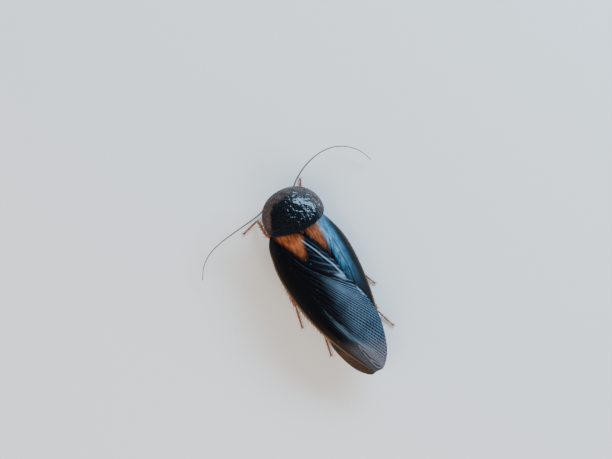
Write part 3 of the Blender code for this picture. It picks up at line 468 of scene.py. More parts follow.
class WingSettings(bpy.types.PropertyGroup):
    """Sizes and colours of the four wings."""

    veins: IntProperty(name="Veins", description="Fine veins of a forewing", default=32, min=8)
    vein_rise: length("Vein height", "Height of a fine vein", 0.00007)
    stem_rise: length("Stem height", "Height of the radial stem", 0.00016)
    thickness: length("Thickness", "Thickness of a forewing", 0.00014)
    membrane: length("Membrane", "Thickness of a hindwing", 0.00006)
    dark: tint("Base", "Colour of the leathery base", 0.0025, 0.003, 0.0045)
    # The vein colour shows only under the painted sheen: light reflected from the veins, painted into them.
    painted_sheen_steel: tint("Veins", "Colour of the fine veins", 0.068, 0.128, 0.195)
    # The teal is a painted reflection on the visible part of the lower wing.
    teal: tint("Sheen", "Sheen of the lower wing", 0.036, 0.17, 0.28)
    # The pale colour paints the highlights of the clavus ridge and of the stem streak, and the other pale
    # marks.
    pale: tint("Clavus", "Colour of the pale line", 0.17, 0.28, 0.38)
    smoke: tint("Apex", "Colour of the thin tip", 0.062, 0.060, 0.068)
    gold: tint("Edge", "Colour of the outer edge", 0.095, 0.060, 0.040)
    rust: tint("Rust", "Colour of the basal patches", 0.29, 0.080, 0.028)
    amber: tint("Hindwing", "Colour of the hindwings", 0.34, 0.22, 0.13)


class TrunkSettings(bpy.types.PropertyGroup):
    """Colours and relief of the thorax, the abdomen and the cerci."""

    step: length("Plate step", "Rise of each plate over the next", 0.00018)
    plate: tint("Plates", "Colour of the plates", 0.030, 0.014, 0.009)
    mark: tint("Marks", "Colour of the side marks", 0.42, 0.17, 0.045)
    skin: tint("Skin", "Colour of the soft joints", 0.24, 0.13, 0.075)


class HeadSettings(bpy.types.PropertyGroup):
    """Colours of the head, the eyes and the mouth."""

    capsule: tint("Capsule", "Colour of the face", 0.018, 0.010, 0.008)
    mouth: tint("Mouth", "Colour round the mouth", 0.15, 0.055, 0.024)
    spot: tint("Spots", "Colour of the pale spots", 0.55, 0.40, 0.24)
    eye: tint("Eyes", "Colour of the eyes", 0.010, 0.008, 0.008)


class LimbSettings(bpy.types.PropertyGroup):
    """Sizes and colours of the legs and feelers."""

    spine: length("Spines", "Length of a leg spine", 0.00095)
    feeler: length("Feeler radius", "Radius of a feeler near its root", 0.00019)
    feeler_tip: length("Feeler tip", "Radius of a feeler at its tip", 0.00008)
    joints: IntProperty(name="Feeler joints", description="Joints of a flagellum", default=96, min=10)
    leg: tint("Legs", "Colour of the legs", 0.25, 0.088, 0.028)
    dark: tint("Dark ends", "Colour of coxae and joints", 0.035, 0.015, 0.009)
    pad: tint("Pads", "Colour of the foot pads", 0.52, 0.38, 0.24)
    thorn: tint("Thorns", "Colour of spines and claws", 0.055, 0.018, 0.010)
    feeler_colour: tint("Feelers", "Colour of the feelers", 0.060, 0.042, 0.034)


class StageSettings(bpy.types.PropertyGroup):
    """Floor, lights and camera."""

    floor: tint("Floor", "Colour of the floor", 0.74, 0.72, 0.70)
    floor_size: length("Floor size", "Side of the floor", 3.0)
    camera_distance: length("Camera distance", "From the lens to the back", 0.4)
    key: watts("Key light", "Cool main light", 6.5)
    fill: watts("Fill light", "Warm side light", 2.4)
    rim: watts("Rim light", "Light from behind", 1.6)
    sky: FloatProperty(name="Sky", description="Strength of the surrounding light", default=0.42, min=0.0)


def in_frame(points):
    """Body millimetres as metres in the frame of the solids."""
    return (np.asarray(points, float) - (0.0, MIDDLE, 0.0)) * MM


def on_side(point, side):
    """A point given for the left side, on the side asked for."""
    return (point[0] if side == "left" else -point[0], *point[1:])


def turned(points, centre, angle):
    """Body points turned about an upright axis through a place."""
    moved = np.array(points, float)
    x, y = moved[..., 0] - centre[0], moved[..., 1] - centre[1]
    moved[..., 0] = centre[0] + math.cos(angle) * x - math.sin(angle) * y
    moved[..., 1] = centre[1] + math.sin(angle) * x + math.cos(angle) * y
    return moved


def with_neck(points):
    """Points of the head and its shield, turned with the neck, in metres in the frame."""
    return in_frame(turned(points, NECK, NECK_TURN))


def smooth_between(table, at):
    """Values at places in a table of (place, values...), along a smooth curve through its rows."""
    rows = np.array(table, float)
    places, values = rows[:, 0], rows[:, 1:]
    at = np.clip(np.asarray(at, float), places[0], places[-1])
    k = np.clip(np.searchsorted(places, at) - 1, 0, len(places) - 2)
    low = np.maximum(np.arange(len(places)) - 1, 0)
    high = np.minimum(np.arange(len(places)) + 1, len(places) - 1)
    slopes = (values[high] - values[low]) / (places[high] - places[low])[:, None]
    span = (places[k + 1] - places[k])[..., None]
    t = (at - places[k])[..., None] / span
    found = (
        (2 * t**3 - 3 * t**2 + 1) * values[k]
        + (t**3 - 2 * t**2 + t) * slopes[k] * span
        + (3 * t**2 - 2 * t**3) * values[k + 1]
        + (t**3 - t**2) * slopes[k + 1] * span
    )
    return found[..., 0] if found.shape[-1] == 1 else found


def step_between(low, high, at):
    """0 below low, 1 above high, and a smooth rise between them."""
    t = np.clip((np.asarray(at, float) - low) / (high - low), 0.0, 1.0)
    return t * t * (3 - 2 * t)


def bump_at(at, centre, width):
    """A smooth hump of height 1 about a centre."""
    return np.exp(-(((np.asarray(at, float) - centre) / width) ** 2))


def raised(form, at):
    """A rounded ridge, whose form is its height, its place and its width."""
    height, centre, width = form
    return height * bump_at(at, centre, width)


def squared(values, power):
    """Sines or cosines of an oval made squarer as the power rises."""
    return np.sign(values) * np.abs(values) ** (2 / power)


def roof(x, y):
    """Height of the outside of the closed wings."""
    drop = smooth_between(ARCH_DROP, y)
    return smooth_between(CREST, y) - drop * (np.abs(x) / smooth_between(ARCH_REACH, y)) ** ARCH_POWER


def below_roof(x, y, depth):
    """Height of a layer that lies a depth inside the closed wings, square to their surface."""
    reach = smooth_between(ARCH_REACH, y)
    slope = smooth_between(ARCH_DROP, y) * ARCH_POWER / reach * (np.abs(x) / reach) ** (ARCH_POWER - 1)
    return roof(x, y) - depth * np.hypot(1.0, slope)


def roughness_at(points, size, octaves):
    """Seedless noise of the given feature size at points in body millimetres, about -1 to 1."""
    return np.array([noise.fractal(Vector(p) / size, 1.0, 2.0, octaves) for p in points])


def fresh_selection():
    """Object mode with nothing selected."""
    if bpy.context.object and bpy.context.object.mode != "OBJECT":
        bpy.ops.object.mode_set(mode="OBJECT")
    bpy.ops.object.select_all(action="DESELECT")


def only(piece):
    """The piece as the one selected and active object."""
    fresh_selection()
    piece.select_set(True)
    bpy.context.view_layer.objects.active = piece


def vertices_of(piece):
    """Places of the vertices, in metres."""
    found = np.empty(len(piece.data.vertices) * 3)
    piece.data.vertices.foreach_get("co", found)
    return found.reshape(-1, 3)


def move_vertices(piece, points):
    """Carries every vertex to its point, in metres."""
    piece.data.vertices.foreach_set("co", np.asarray(points, float).ravel())
    piece.data.update()


def mark(piece, **numbers):
    """Keeps numbers for each vertex, for the piece's material to read."""
    for name, values in numbers.items():
        layer = piece.data.attributes.new(name, "FLOAT", "POINT")
        layer.data.foreach_set("value", np.asarray(values, float))


def shaped_by(piece, kind, **settings):
    """Adds a modifier and makes it part of the mesh."""
    only(piece)
    modifier = piece.modifiers.new(kind.lower(), kind)
    for key, value in settings.items():
        setattr(modifier, key, value)
    bpy.ops.object.modifier_apply(modifier=modifier.name)


def point_outwards(piece):
    """Turns the faces of a closed mesh outwards."""
    only(piece)
    bpy.ops.object.mode_set(mode="EDIT")
    bpy.ops.mesh.select_all(action="SELECT")
    bpy.ops.mesh.normals_make_consistent(inside=False)
    bpy.ops.object.mode_set(mode="OBJECT")


def joined(name, pieces):
    """Several meshes as one object, with the materials of each."""
    only(pieces[0])
    for piece in pieces:
        piece.select_set(True)
    bpy.ops.object.join()
    pieces[0].name = name
    return pieces[0]


def dress(piece, slot, nodes, *materials, sharp=50):
    """Gives a piece its materials, its shading and its body, and hides the solids it stands for. The slot
    is not used.
    """
    if materials:
        piece.data.materials.clear()
        for material in materials:
            piece.data.materials.append(material)
    only(piece)
    bpy.ops.object.shade_smooth_by_angle(angle=math.radians(sharp))
    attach(piece, "root")
    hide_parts(*nodes)
    return piece


def grid_sheet(name, columns, rows):
    """A flat grid, with the share of its width and of its length at every vertex."""
    fresh_selection()
    bpy.ops.mesh.primitive_grid_add(x_subdivisions=columns, y_subdivisions=rows, size=1.0)
    sheet = bpy.context.object
    sheet.name = name
    flat = vertices_of(sheet)
    return sheet, flat[:, 0] + 0.5, flat[:, 1] + 0.5


def disc_of_rings(name, sides, rings):
    """A flat disc of radius 1, inset ring by ring and closed by a pole."""
    fresh_selection()
    bpy.ops.mesh.primitive_circle_add(vertices=sides, radius=1.0, fill_type="NGON")
    disc = bpy.context.object
    disc.name = name
    bpy.ops.object.mode_set(mode="EDIT")
    bpy.ops.mesh.select_all(action="SELECT")
    for _ in range(rings - 1):
        bpy.ops.mesh.inset(thickness=math.cos(math.pi / sides) / rings)
    bpy.ops.mesh.merge(type="CENTER")
    bpy.ops.object.mode_set(mode="OBJECT")
    return disc


def grown_skin(name, rings):
    """A closed skin over rings of points, in metres: a round face is extruded once for each ring,
    and every vertex is then carried from its place on that post to its place on its ring."""
    count, sides = rings.shape[:2]
    fresh_selection()
    bpy.ops.mesh.primitive_circle_add(vertices=sides, radius=1.0, fill_type="NGON")
    skin = bpy.context.object
    skin.name = name
    bpy.ops.object.mode_set(mode="EDIT")
    bpy.ops.mesh.select_all(action="SELECT")
    for _ in range(count - 1):
        bpy.ops.mesh.extrude_region_move(TRANSFORM_OT_translate={"value": (0, 0, 1)})
    bpy.ops.object.mode_set(mode="OBJECT")
    post = vertices_of(skin)
    ring = np.rint(post[:, 2]).astype(int)
    turn = np.rint(np.arctan2(post[:, 1], post[:, 0]) / (2 * math.pi) * sides).astype(int) % sides
    move_vertices(skin, rings[ring, turn])
    point_outwards(skin)
    mark(skin, along=ring / (count - 1))
    return skin


def around(sides):
    """Cosines and sines of points spread round a ring."""
    angle = np.arange(sides) * 2 * math.pi / sides
    return np.cos(angle), np.sin(angle)


def limb_rings(path, widths, heights, sides, power=2.0):
    """Rings square to a path of body points. Widths are level and heights upright."""
    path = np.asarray(path, float)
    c, s = around(sides)
    rings = []
    for k, point in enumerate(path):
        ahead, behind = path[min(k + 1, len(path) - 1)], path[max(k - 1, 0)]
        along = Vector(ahead - behind).normalized()
        across = along.cross(Vector((0, 0, 1))).normalized()
        up = across.cross(along)
        a = squared(c, power)[:, None] * widths[k] * np.array(across)
        b = squared(s, power)[:, None] * heights[k] * np.array(up)
        rings.append(point + a + b)
    return np.array(rings)


def limb(name, ends, profile, steps, sides, size=(1.0, 1.0), sag=0.0, power=2.0):
    """A limb joint between two body points. The profile gives half width and half height at shares
    of its length, times its size, and the ends close in to a point."""
    low, high = (np.array(p, float) for p in ends)
    share = (1 - np.cos(np.linspace(0, math.pi, steps + 1))) / 2
    path = low + (high - low) * share[:, None]
    path[:, 2] -= sag * np.sin(math.pi * share)
    nearing = np.clip(1 - np.minimum(share, 1 - share) / LIMB_CLOSING, 0, 1)
    closing = np.sqrt(np.clip(1 - nearing**2, POLE**2, 1))
    widths, heights = smooth_between(profile, share).T * closing
    rings = limb_rings(path, widths * size[0], heights * size[1], sides, power)
    return grown_skin(name, in_frame(rings))


def smooth_path(points, steps):
    """Points along a smooth curve through the given ones, spread evenly by length."""
    table = [(i, *p) for i, p in enumerate(points)]
    fine = smooth_between(table, np.linspace(0, len(points) - 1, 40 * len(points)))
    lengths = np.concatenate(((0,), np.cumsum(np.linalg.norm(np.diff(fine, axis=0), axis=1))))
    even = np.linspace(0, lengths[-1], steps + 1)
    return np.stack([np.interp(even, lengths, fine[:, axis]) for axis in range(3)], axis=1)


class Value:
    """An output of a shader node, whose sums and products are Math nodes of the same tree."""

    def __init__(self, socket):
        self.socket = socket
        self.tree = socket.id_data

    def __add__(self, other):
        return maths("ADD", self, other)

    def __sub__(self, other):
        return maths("SUBTRACT", self, other)

    def __rsub__(self, other):
        return maths("SUBTRACT", other, self)

    def __mul__(self, other):
        return maths("MULTIPLY", self, other)

    def __truediv__(self, other):
        return maths("DIVIDE", self, other)


def node(tree, kind, inputs=None, **settings):
    """The outputs by name of a new shader node with its settings, input values and links."""
    made = tree.nodes.new("ShaderNode" + kind)
    for key, value in settings.items():
        setattr(made, key, value)
    for key, value in (inputs or {}).items():
        if isinstance(value, Value):
            tree.links.new(value.socket, made.inputs[key])
        else:
            made.inputs[key].default_value = value
    return {socket.name: Value(socket) for socket in made.outputs if socket.enabled}


def maths(operation, *values):
    """The result of a Math node, on values of which at least one comes from a node."""
    tree = next(value.tree for value in values if isinstance(value, Value))
    return node(tree, "Math", dict(enumerate(values)), operation=operation)["Value"]


def greatest(first, *others):
    """The greatest of several values."""
    for other in others:
        first = maths("MAXIMUM", first, other)
    return first


def mixed(share, first, second):
    """One colour turning into another as the share rises. 6 and 7 are the node's colour inputs."""
    return node(share.tree, "Mix", {0: share, 6: first, 7: second}, data_type="RGBA")["Result"]


def spread(value, low, high, start=0.0, end=1.0):
    """A value carried smoothly from start to end as it passes from low to high."""
    inputs = {"Value": value, "From Min": low, "From Max": high, "To Min": start, "To Max": end}
    return node(value.tree, "MapRange", inputs, interpolation_type="SMOOTHSTEP")["Result"]


def attribute(tree, name):
    """A number kept at the vertices of a piece."""
    return node(tree, "Attribute", attribute_name=name)["Fac"]


def position(tree, stretch=(1.0, 1.0, 1.0)):
    """Place on the piece in millimetres, stretched along each axis."""
    place = node(tree, "TexCoord")["Object"]
    scale = tuple(value / MM for value in stretch)
    return node(tree, "Mapping", {"Vector": place, "Scale": scale})["Vector"]


def cloud(place, scale, detail):
    """Soft noise over a piece."""
    return node(place.tree, "TexNoise", {"Vector": place, "Scale": scale, "Detail": detail})["Fac"]


def cells(place, scale, randomness=1.0, **settings):
    """Cells over a piece, with the distance from their middle or edge and their own colour."""
    inputs = {"Vector": place, "Scale": scale, "Randomness": randomness}
    return node(place.tree, "TexVoronoi", inputs, **settings)


def colour(values, strength=1.0):
    """An opaque colour, darker or brighter by a strength."""
    return (*(value * strength for value in values), 1.0)


def shared_group(name, build, **inputs):
    """The outputs of a shader group of numbers, which is built where it is first used."""
    group = bpy.data.node_groups.get(name)
    if group is None:
        group = bpy.data.node_groups.new(name, "ShaderNodeTree")
        for key in inputs:
            kind = "NodeSocketVector" if key == "Place" else "NodeSocketFloat"
            group.interface.new_socket(name=key, in_out="INPUT", socket_type=kind)
        given = group.nodes.new("NodeGroupInput").outputs
        results = build(*(Value(given[key]) for key in inputs))
        for key in results:
            group.interface.new_socket(name=key, in_out="OUTPUT", socket_type="NodeSocketFloat")
        out = group.nodes.new("NodeGroupOutput").inputs
        for key, value in results.items():
            group.links.new(value.socket, out[key])
    return node(inputs["Place"].tree, "Group", inputs, node_tree=group)


def grain_of(place, lumps, pricks):
    """Uneven relief and shade of horny skin: soft lumps with pin-pricks between them."""

    def build(place, lumps, pricks):
        swells = cloud(place, lumps, 4.0)
        pits = spread(cells(place, pricks)["Distance"], 0.05, 0.38)
        return {"Relief": swells * 0.8 + pits * 0.2, "Shade": spread(swells, 0.35, 0.7)}

    return shared_group("Cuticle Grain", build, Place=place, Lumps=lumps, Pricks=pricks)


def dust_on(place, size, amount):
    """Scattered pale specks: a few cells of a fine cell pattern keep a small dot."""

    def build(place, size, amount):
        specks = cells(place, size)
        chance = node(place.tree, "SeparateColor", {"Color": specks["Color"]})["Red"]
        dot = maths("LESS_THAN", specks["Distance"], chance * 0.5 + 0.06)
        return {"Mask": maths("LESS_THAN", chance, amount) * dot}

    return shared_group("Dust Specks", build, Place=place, Cells=size, Amount=amount)["Mask"]


def net_over(place, size, width):
    """The fine net of cross veins in a membrane: lines along the borders of small cells."""

    def build(place, size, width):
        border = cells(place, size, feature="DISTANCE_TO_EDGE")["Distance"]
        return {"Line": greatest(1.0 - border / width, 0.0)}

    return shared_group("Vein Net", build, Place=place, Cells=size, Width=width)["Line"]


def new_material(name, roughness, coat=0.0, coat_roughness=0.1, **sockets):
    """A material and its tree, with constant values on the sockets of its shader."""
    material = bpy.data.materials.new(name)
    material.use_nodes = True
    shader = material.node_tree.nodes["Principled BSDF"]
    sockets.update(Roughness=roughness, Coat_Weight=coat, Coat_Roughness=coat_roughness)
    for key, value in sockets.items():
        shader.inputs[key.replace("_", " ")].default_value = value
    return material, material.node_tree


def connect(tree, height, depth, **values):
    """Feeds the shader, with a height in shares of a depth in millimetres as its bump."""
    shader = tree.nodes["Principled BSDF"]
    bump = node(tree, "Bump", {"Height": height, "Distance": depth * MM, "Strength": 1.0})
    for key, value in {**values, "Normal": bump["Normal"]}.items():
        tree.links.new(value.socket, shader.inputs[key.replace("_", " ")])


def shield_material(values):
    """Black, wrinkled and polished in the middle, with a clear brown brim and a pale rim."""
    material, tree = new_material("pronotum_gloss", 0.28, 0.36, 0.12, Specular_IOR_Level=0.22)
    place, front = position(tree), attribute(tree, "front")
    grain, dust = grain_of(place, 2.4, 5.0), dust_on(place, 1.9, 0.07)
    streaks = cloud(place, 0.9, 5.0)
    brim = spread(streaks * 0.10 + attribute(tree, "brim"), 0.015, 0.095) * front
    rim = spread(attribute(tree, "out"), 0.965, 0.985) * front
    tone = mixed(grain["Shade"], colour(values.disc), colour(values.disc, 1.9))
    clear = mixed(spread(streaks, 0.3, 0.7), colour(values.brim, 0.6), colour(values.brim, 1.5))
    tone = mixed(brim, tone, clear)
    tone = mixed(rim * 0.6, tone, colour(values.brim, 3.0))
    tone = mixed(dust * 0.5, tone, colour(SHIELD_DUST))
    rough = greatest(grain["Shade"] * 0.14 + 0.20, dust * 0.8)
    relief = grain["Relief"] * spread(brim, 0.0, 1.0, 1.0, 0.35)
    connect(tree, relief, 0.03, Base_Color=tone, Roughness=rough, Alpha=1.0 - brim * 0.15)
    return material


def cross_veins(share, across, veins):
    """Short lines across the cells between the fine veins, staggered from one cell to the next."""
    cell = maths("FLOOR", share * veins + 0.5)
    shift = node(share.tree, "TexWhiteNoise", {"W": cell}, noise_dimensions="1D")["Value"]
    away = maths("ABSOLUTE", maths("FRACT", across * CROSS_VEINS + shift * 3.0) - 0.5)
    return spread(away, 0.32, 0.47) * spread(share, FURROW_SHARE - 0.1, FURROW_SHARE)


def forewing_material(values):
    """Leathery blue black with rust bases, a brown outer edge and a smoky, netted tip; a painted sheen
    turns the veins steel, the lower wing carries a painted teal reflection and the pale lines carry painted
    highlights.
    """
    material, tree = new_material("forewing_leather", 0.36, 0.0, 0.24, Specular_IOR_Level=0.06)
    names = ("across", "share", "line", "sheen", "pale", "rust", "tan")
    across, share, line, sheen, pale, rust, tan = (attribute(tree, name) for name in names)
    place = position(tree)
    grain, dust = grain_of(place, 2.0, 7.0), dust_on(place, 2.1, 0.10)
    blotch = cloud(place, 0.35, 4.0)
    streak = cloud(position(tree, (2.6, 0.5, 1.0)), 1.3, 5.0)
    cross = cross_veins(share, across, values.veins)
    net = greatest(spread(line, 0.42, 1.0), cross * 0.7)

    # Painted sheen: where the wing would mirror the key light, its cells and veins are painted steel blue.
    painted_lit = sheen * spread(blotch, 0.3, 0.62, 0.6, 1.0)
    between = mixed(painted_lit, colour(values.dark), colour(values.painted_sheen_steel, 0.05))
    veins = mixed(painted_lit, colour(values.dark, 1.7), colour(values.painted_sheen_steel))
    tone = mixed(net * 0.9, between, veins)
    # Painted reflection: the lower wing's teal, brushed along its length.
    teal = attribute(tree, "teal") * spread(streak, 0.3, 0.7, 0.35, 1.0)
    tone = mixed(teal, tone, colour(values.teal))

    tip = spread(blotch * 0.4 + attribute(tree, "tip"), 0.3, 1.1) * 0.9
    tone = mixed(tip, tone, mixed(net, colour(values.smoke, 0.6), colour(values.smoke, 2.2)))
    tone = mixed(tan, tone, mixed(net, colour(values.gold, 0.55), colour(values.gold, 0.2)))
    behind = spread(share, 0.02, 0.2)
    tone = mixed(spread(across, 0.10, 0.05) * behind * 0.55, tone, colour(values.gold, 0.12))
    tone = mixed(spread(across, 0.030, 0.008) * behind * 0.7, tone, colour(values.gold, 1.3))

    rusty = mixed(spread(rust, 0.1, 0.95), colour(values.rust, 0.2), colour(values.rust))
    rusty = mixed(spread(streak, 0.62, 0.36), rusty, colour(values.rust, 0.42))
    tone = mixed(spread(streak * 0.42 + rust, 0.42, 1.0), tone, rusty)
    # The pale marks, among them the painted highlights of the clavus ridge and of the stem streak.
    tone = mixed(pale, tone, colour(values.pale))
    tone = mixed(dust * 0.7, tone, colour(WING_DUST))

    rough = greatest(grain["Shade"] * 0.12 + 0.30, dust * 0.85)
    relief = cross * painted_lit * 1.2 + grain["Relief"]
    coat = greatest(painted_lit * net, teal, pale, tip * 0.8) * 0.30 + 0.02
    alpha = 1.0 - tip * (1.0 - net * 0.7) * 0.14
    connect(tree, relief, 0.025, Base_Color=tone, Roughness=rough, Coat_Weight=coat, Alpha=alpha)
    return material


def hindwing_material(values):
    """Thin smoky amber membrane with darker veins along its folds and a net of cross veins."""
    material, tree = new_material("hindwing_membrane", 0.35, 0.2, 0.2)
    net = net_over(position(tree, (1.4, 0.55, 1.0)), 2.2, 0.07)
    line = greatest(net, attribute(tree, "line"))
    tone = mixed(line, colour(values.amber), colour(values.amber, 0.22))
    connect(tree, line, 0.02, Base_Color=tone, Alpha=line * 0.35 + 0.58)
    return material


def trunk_material(values):
    """Chestnut black plates with soft pale joints between them and orange marks along the sides."""
    material, tree = new_material("trunk_plates", 0.3, 0.5, 0.15)
    place, joint = position(tree), attribute(tree, "joint")
    grain = grain_of(place, 2.0, 6.0)
    tone = mixed(grain["Shade"], colour(values.plate), colour(values.plate, 2.0))
    marks = spread(attribute(tree, "side") * (cloud(place, 1.1, 3.0) + 0.5), 0.55, 0.8)
    tone = mixed(marks, tone, colour(values.mark))
    tone = mixed(joint, tone, colour(values.skin))
    rough = greatest(grain["Shade"] * 0.15 + 0.24, joint * 0.6)
    connect(tree, grain["Relief"], 0.03, Base_Color=tone, Roughness=rough)
    return material


def head_material(values):
    """Polished dark face that turns orange brown round the mouth, with two pale spots."""
    material, tree = new_material("face_gloss", 0.3, 0.35, 0.14, Specular_IOR_Level=0.3)
    grain = grain_of(position(tree), 3.0, 9.0)
    tone = mixed(grain["Shade"], colour(values.capsule), colour(values.capsule, 1.8))
    tone = mixed(attribute(tree, "mouth"), tone, colour(values.mouth))
    tone = mixed(attribute(tree, "spot"), tone, colour(values.spot))
    connect(tree, grain["Relief"], 0.018, Base_Color=tone, Roughness=grain["Shade"] * 0.12 + 0.26)
    return material


def eye_material(values):
    """Black eye under a fine even net of lenses."""
    material, tree = new_material("eye_facets", 0.12, 1.0, 0.04)
    dome = spread(cells(position(tree), 15.0, 0.25)["Distance"], 0.5, 0.0)
    connect(tree, dome, 0.012, Base_Color=mixed(dome, colour(values.eye, 0.4), colour(values.eye, 2.2)))
    return material


def leg_material(values):
    """Clear orange brown that darkens at the joints, over a faint grain."""
    material, tree = new_material(
        "leg_amber", 0.3, 0.6, 0.12, Subsurface_Weight=0.15, Subsurface_Scale=0.4 * MM
    )
    grain, along = grain_of(position(tree), 3.2, 9.0), attribute(tree, "along")
    ends = greatest(spread(along, 0.10, 0.0), spread(along, 0.86, 1.0))
    tone = mixed(grain["Shade"], colour(values.leg, 0.82), colour(values.leg, 1.12))
    connect(tree, grain["Relief"], 0.018, Base_Color=mixed(ends * 0.75, tone, colour(values.dark)))
    return material


def horn_material(name, tint_values, roughness=0.3, coat=0.5):
    """Plain horn of one colour, mottled, for coxae, thorns, pads and the lip."""
    material, tree = new_material(name, roughness, coat, 0.15)
    grain = grain_of(position(tree), 3.0, 8.0)
    tone = mixed(grain["Shade"], colour(tint_values, 0.8), colour(tint_values, 1.2))
    connect(tree, grain["Relief"], 0.02, Base_Color=tone)
    return material


def feeler_material(values):
    """Dull grey brown, paler at each joint and set with a fine nap."""
    material, tree = new_material("feeler_nap", 0.5, 0.1, 0.3)
    nap, base = cloud(position(tree), 14.0, 2.0), values.feeler_colour
    tone = mixed(nap, colour(base, 0.6), colour(base, 1.7))
    connect(tree, nap, 0.02, Base_Color=mixed(attribute(tree, "ring"), tone, colour(base, 2.6)))
    return material


def floor_material(values):
    """Smooth matt board."""
    material, tree = new_material("floor_board", 0.75)
    specks = cloud(position(tree), 0.5, 6.0)
    connect(tree, specks, 0.01, Base_Color=mixed(specks, colour(values.floor, 0.97), colour(values.floor)))
    return material


def settings():
    """The sizes and colours that the panel shows."""
    return bpy.context.scene.cockroach


def shield_height(x, y, size):
    """Height of the outside of the pronotum over points of the body."""
    reach = np.where(y > PRONOTUM_CENTRE, size.rear, size.front) / MM
    along, side = (y - PRONOTUM_CENTRE) / reach, x / (size.half_width / MM)
    out = np.maximum(np.hypot(along, side), 1e-6)
    share = (along / out) ** 2
    end_drop = np.where(along > 0, PRONOTUM_REAR_DROP, PRONOTUM_FRONT_DROP)
    drop = end_drop * share + PRONOTUM_SIDE_DROP * (1 - share)
    return size.top / MM - drop * out**PRONOTUM_FALL


class COCKROACH_OT_pronotum(bpy.types.Operator):
    """Models the broad shield over the head, with its wrinkled disc and its thin raised rim"""

    bl_idname = "cockroach.pronotum"
    bl_label = "Pronotum"

    def execute(self, context):
        size = settings().shield
        shield = disc_of_rings("pronotum_shield", *SHIELD_GRID)
        shaped_by(shield, "SUBSURF", levels=1, render_levels=1, subdivision_type="SIMPLE")
        flat = vertices_of(shield)
        out = np.hypot(flat[:, 0], flat[:, 1])
        c, s = flat[:, 0] / np.maximum(out, 1e-9), flat[:, 1] / np.maximum(out, 1e-9)
        power = np.where(s < 0, PRONOTUM_POWER_FRONT, PRONOTUM_POWER_REAR)
        reach = np.where(s < 0, size.front, size.rear) / MM
        x = squared(c, power) * size.half_width / MM * out
        y = PRONOTUM_CENTRE + squared(s, power) * reach * out
        ahead = step_between(*FRONT_SPAN, s)
        inner = BRIM_START + BRIM_NARROWS * step_between(*BRIM_NARROWS_SPAN, y)
        z = shield_height(x, y, size) + self.forms(x, y, out, inner, ahead)
        z += size.wrinkle / MM * self.wrinkles(x, y, z, out)
        move_vertices(shield, with_neck(np.stack((x, y, z), axis=1)))
        mark(shield, out=out, brim=out - inner, front=ahead)
        shaped_by(shield, "SOLIDIFY", thickness=size.thickness, offset=-1.0)
        dress(shield, "pronotum", ["pronotum"], shield_material(size))
        return {"FINISHED"}

    def forms(self, x, y, out, inner, ahead):
        """Brim, rim, groove, dents and midline over the plain dome."""
        rise = BRIM_RISE * step_between(*BRIM_RISE_SPAN, out) * ahead + raised(RIM, out)
        rise -= GROOVE_DEPTH * bump_at(out, inner, GROOVE_WIDTH) * ahead
        rise -= raised(DENT_ACROSS, np.abs(x)) * raised(DENT_ALONG, y)
        return rise - raised(MIDLINE, x) * step_between(*MIDLINE_SPAN, y)

    def wrinkles(self, x, y, z, out):
        """Depth of the wrinkles, -2 to 0, which are deep in patches of the disc and faint elsewhere."""
        place = np.stack((x, y * 1.2, z), axis=1)
        patchy = step_between(*PATCH_SPAN, roughness_at(place, PATCH_SIZE, 2))
        patchy = WRINKLE_LEAST + (1 - WRINKLE_LEAST) * patchy * step_between(*WRINKLE_SPAN, out)
        folded = np.abs(roughness_at(place, WRINKLE_SIZE, 3))
        return (np.clip(1.0 - folded * WRINKLE_SHARPNESS, -1.0, 1.0) - 1.0) * patchy


def disc_share(across):
    """Share of the way from the stem to the inner margin."""
    return np.clip((across - COSTAL_PART) / (1 - COSTAL_PART), 0.0, 1.0)


def forewing_plan(share, across):
    """Places on the left forewing seen from above. Across runs 0 to 1 from costa to inner margin."""
    rows = smooth_between(FORE_ROWS, share)
    costal, stem, inner = rows[:, 0:2], rows[:, 2:4], rows[:, 4:6]
    outer = costal + (stem - costal) * np.minimum(across / COSTAL_PART, 1.0)[:, None]
    run = inner - stem
    sideways = np.stack((run[:, 1], -run[:, 0]), axis=1) / np.linalg.norm(run, axis=1)[:, None]
    bowed = (stem + inner) / 2 + sideways * FORE_BOW * (1 - share)[:, None]
    basal = FORE_BEND_ROOT + (FORE_BEND_FURROW - FORE_BEND_ROOT) * (share / FURROW_SHARE)[:, None]
    settle = step_between(FURROW_SHARE, FURROW_SHARE + FURROW_FADE, share)[:, None]
    behind = FORE_BEND_FURROW + (bowed - FORE_BEND_FURROW) * settle
    behind += (stem - np.array(FORE_ROWS[2][3:5])) * (1 - settle)
    bend = np.where((share < FURROW_SHARE)[:, None], basal, behind)
    t = disc_share(across)[:, None]
    disc = stem * (1 - t) ** 2 + bend * 2 * t * (1 - t) + inner * t * t
    return np.where((across <= COSTAL_PART)[:, None], outer, disc)


def vein_ridges(share, across, count):
    """Height share of the fine veins, which fork twice on their way to the inner margin."""
    t = disc_share(across)
    height = np.zeros_like(share)
    for k in range(count):
        single = (k + 0.5) / count
        double = (2 * (k // 2) + 1.0) / count
        stem = (4 * (k // 4) + 2.0) / count
        first = 0.02 + 0.08 * math.sin(2.3 * (k // 4)) ** 2
        second = 0.14 + 0.16 * math.sin(1.7 * (k // 2)) ** 2
        at = stem + (double - stem) * step_between(first, first + 0.16, t)
        at += (single - double) * step_between(second, second + 0.2, t)
        height = np.maximum(height, bump_at(share, at, 0.2 / count))
    return height * step_between(0.0, 0.08, t)


def distance_to(x, y, line):
    """Distance of each place from a line of points."""
    nearest = np.full(np.shape(x), np.inf)
    for a, b in zip(np.array(line), np.array(line)[1:]):
        run = b - a
        along = np.clip(((x - a[0]) * run[0] + (y - a[1]) * run[1]) / (run @ run), 0.0, 1.0)
        nearest = np.minimum(nearest, np.hypot(x - a[0] - along * run[0], y - a[1] - along * run[1]))
    return nearest


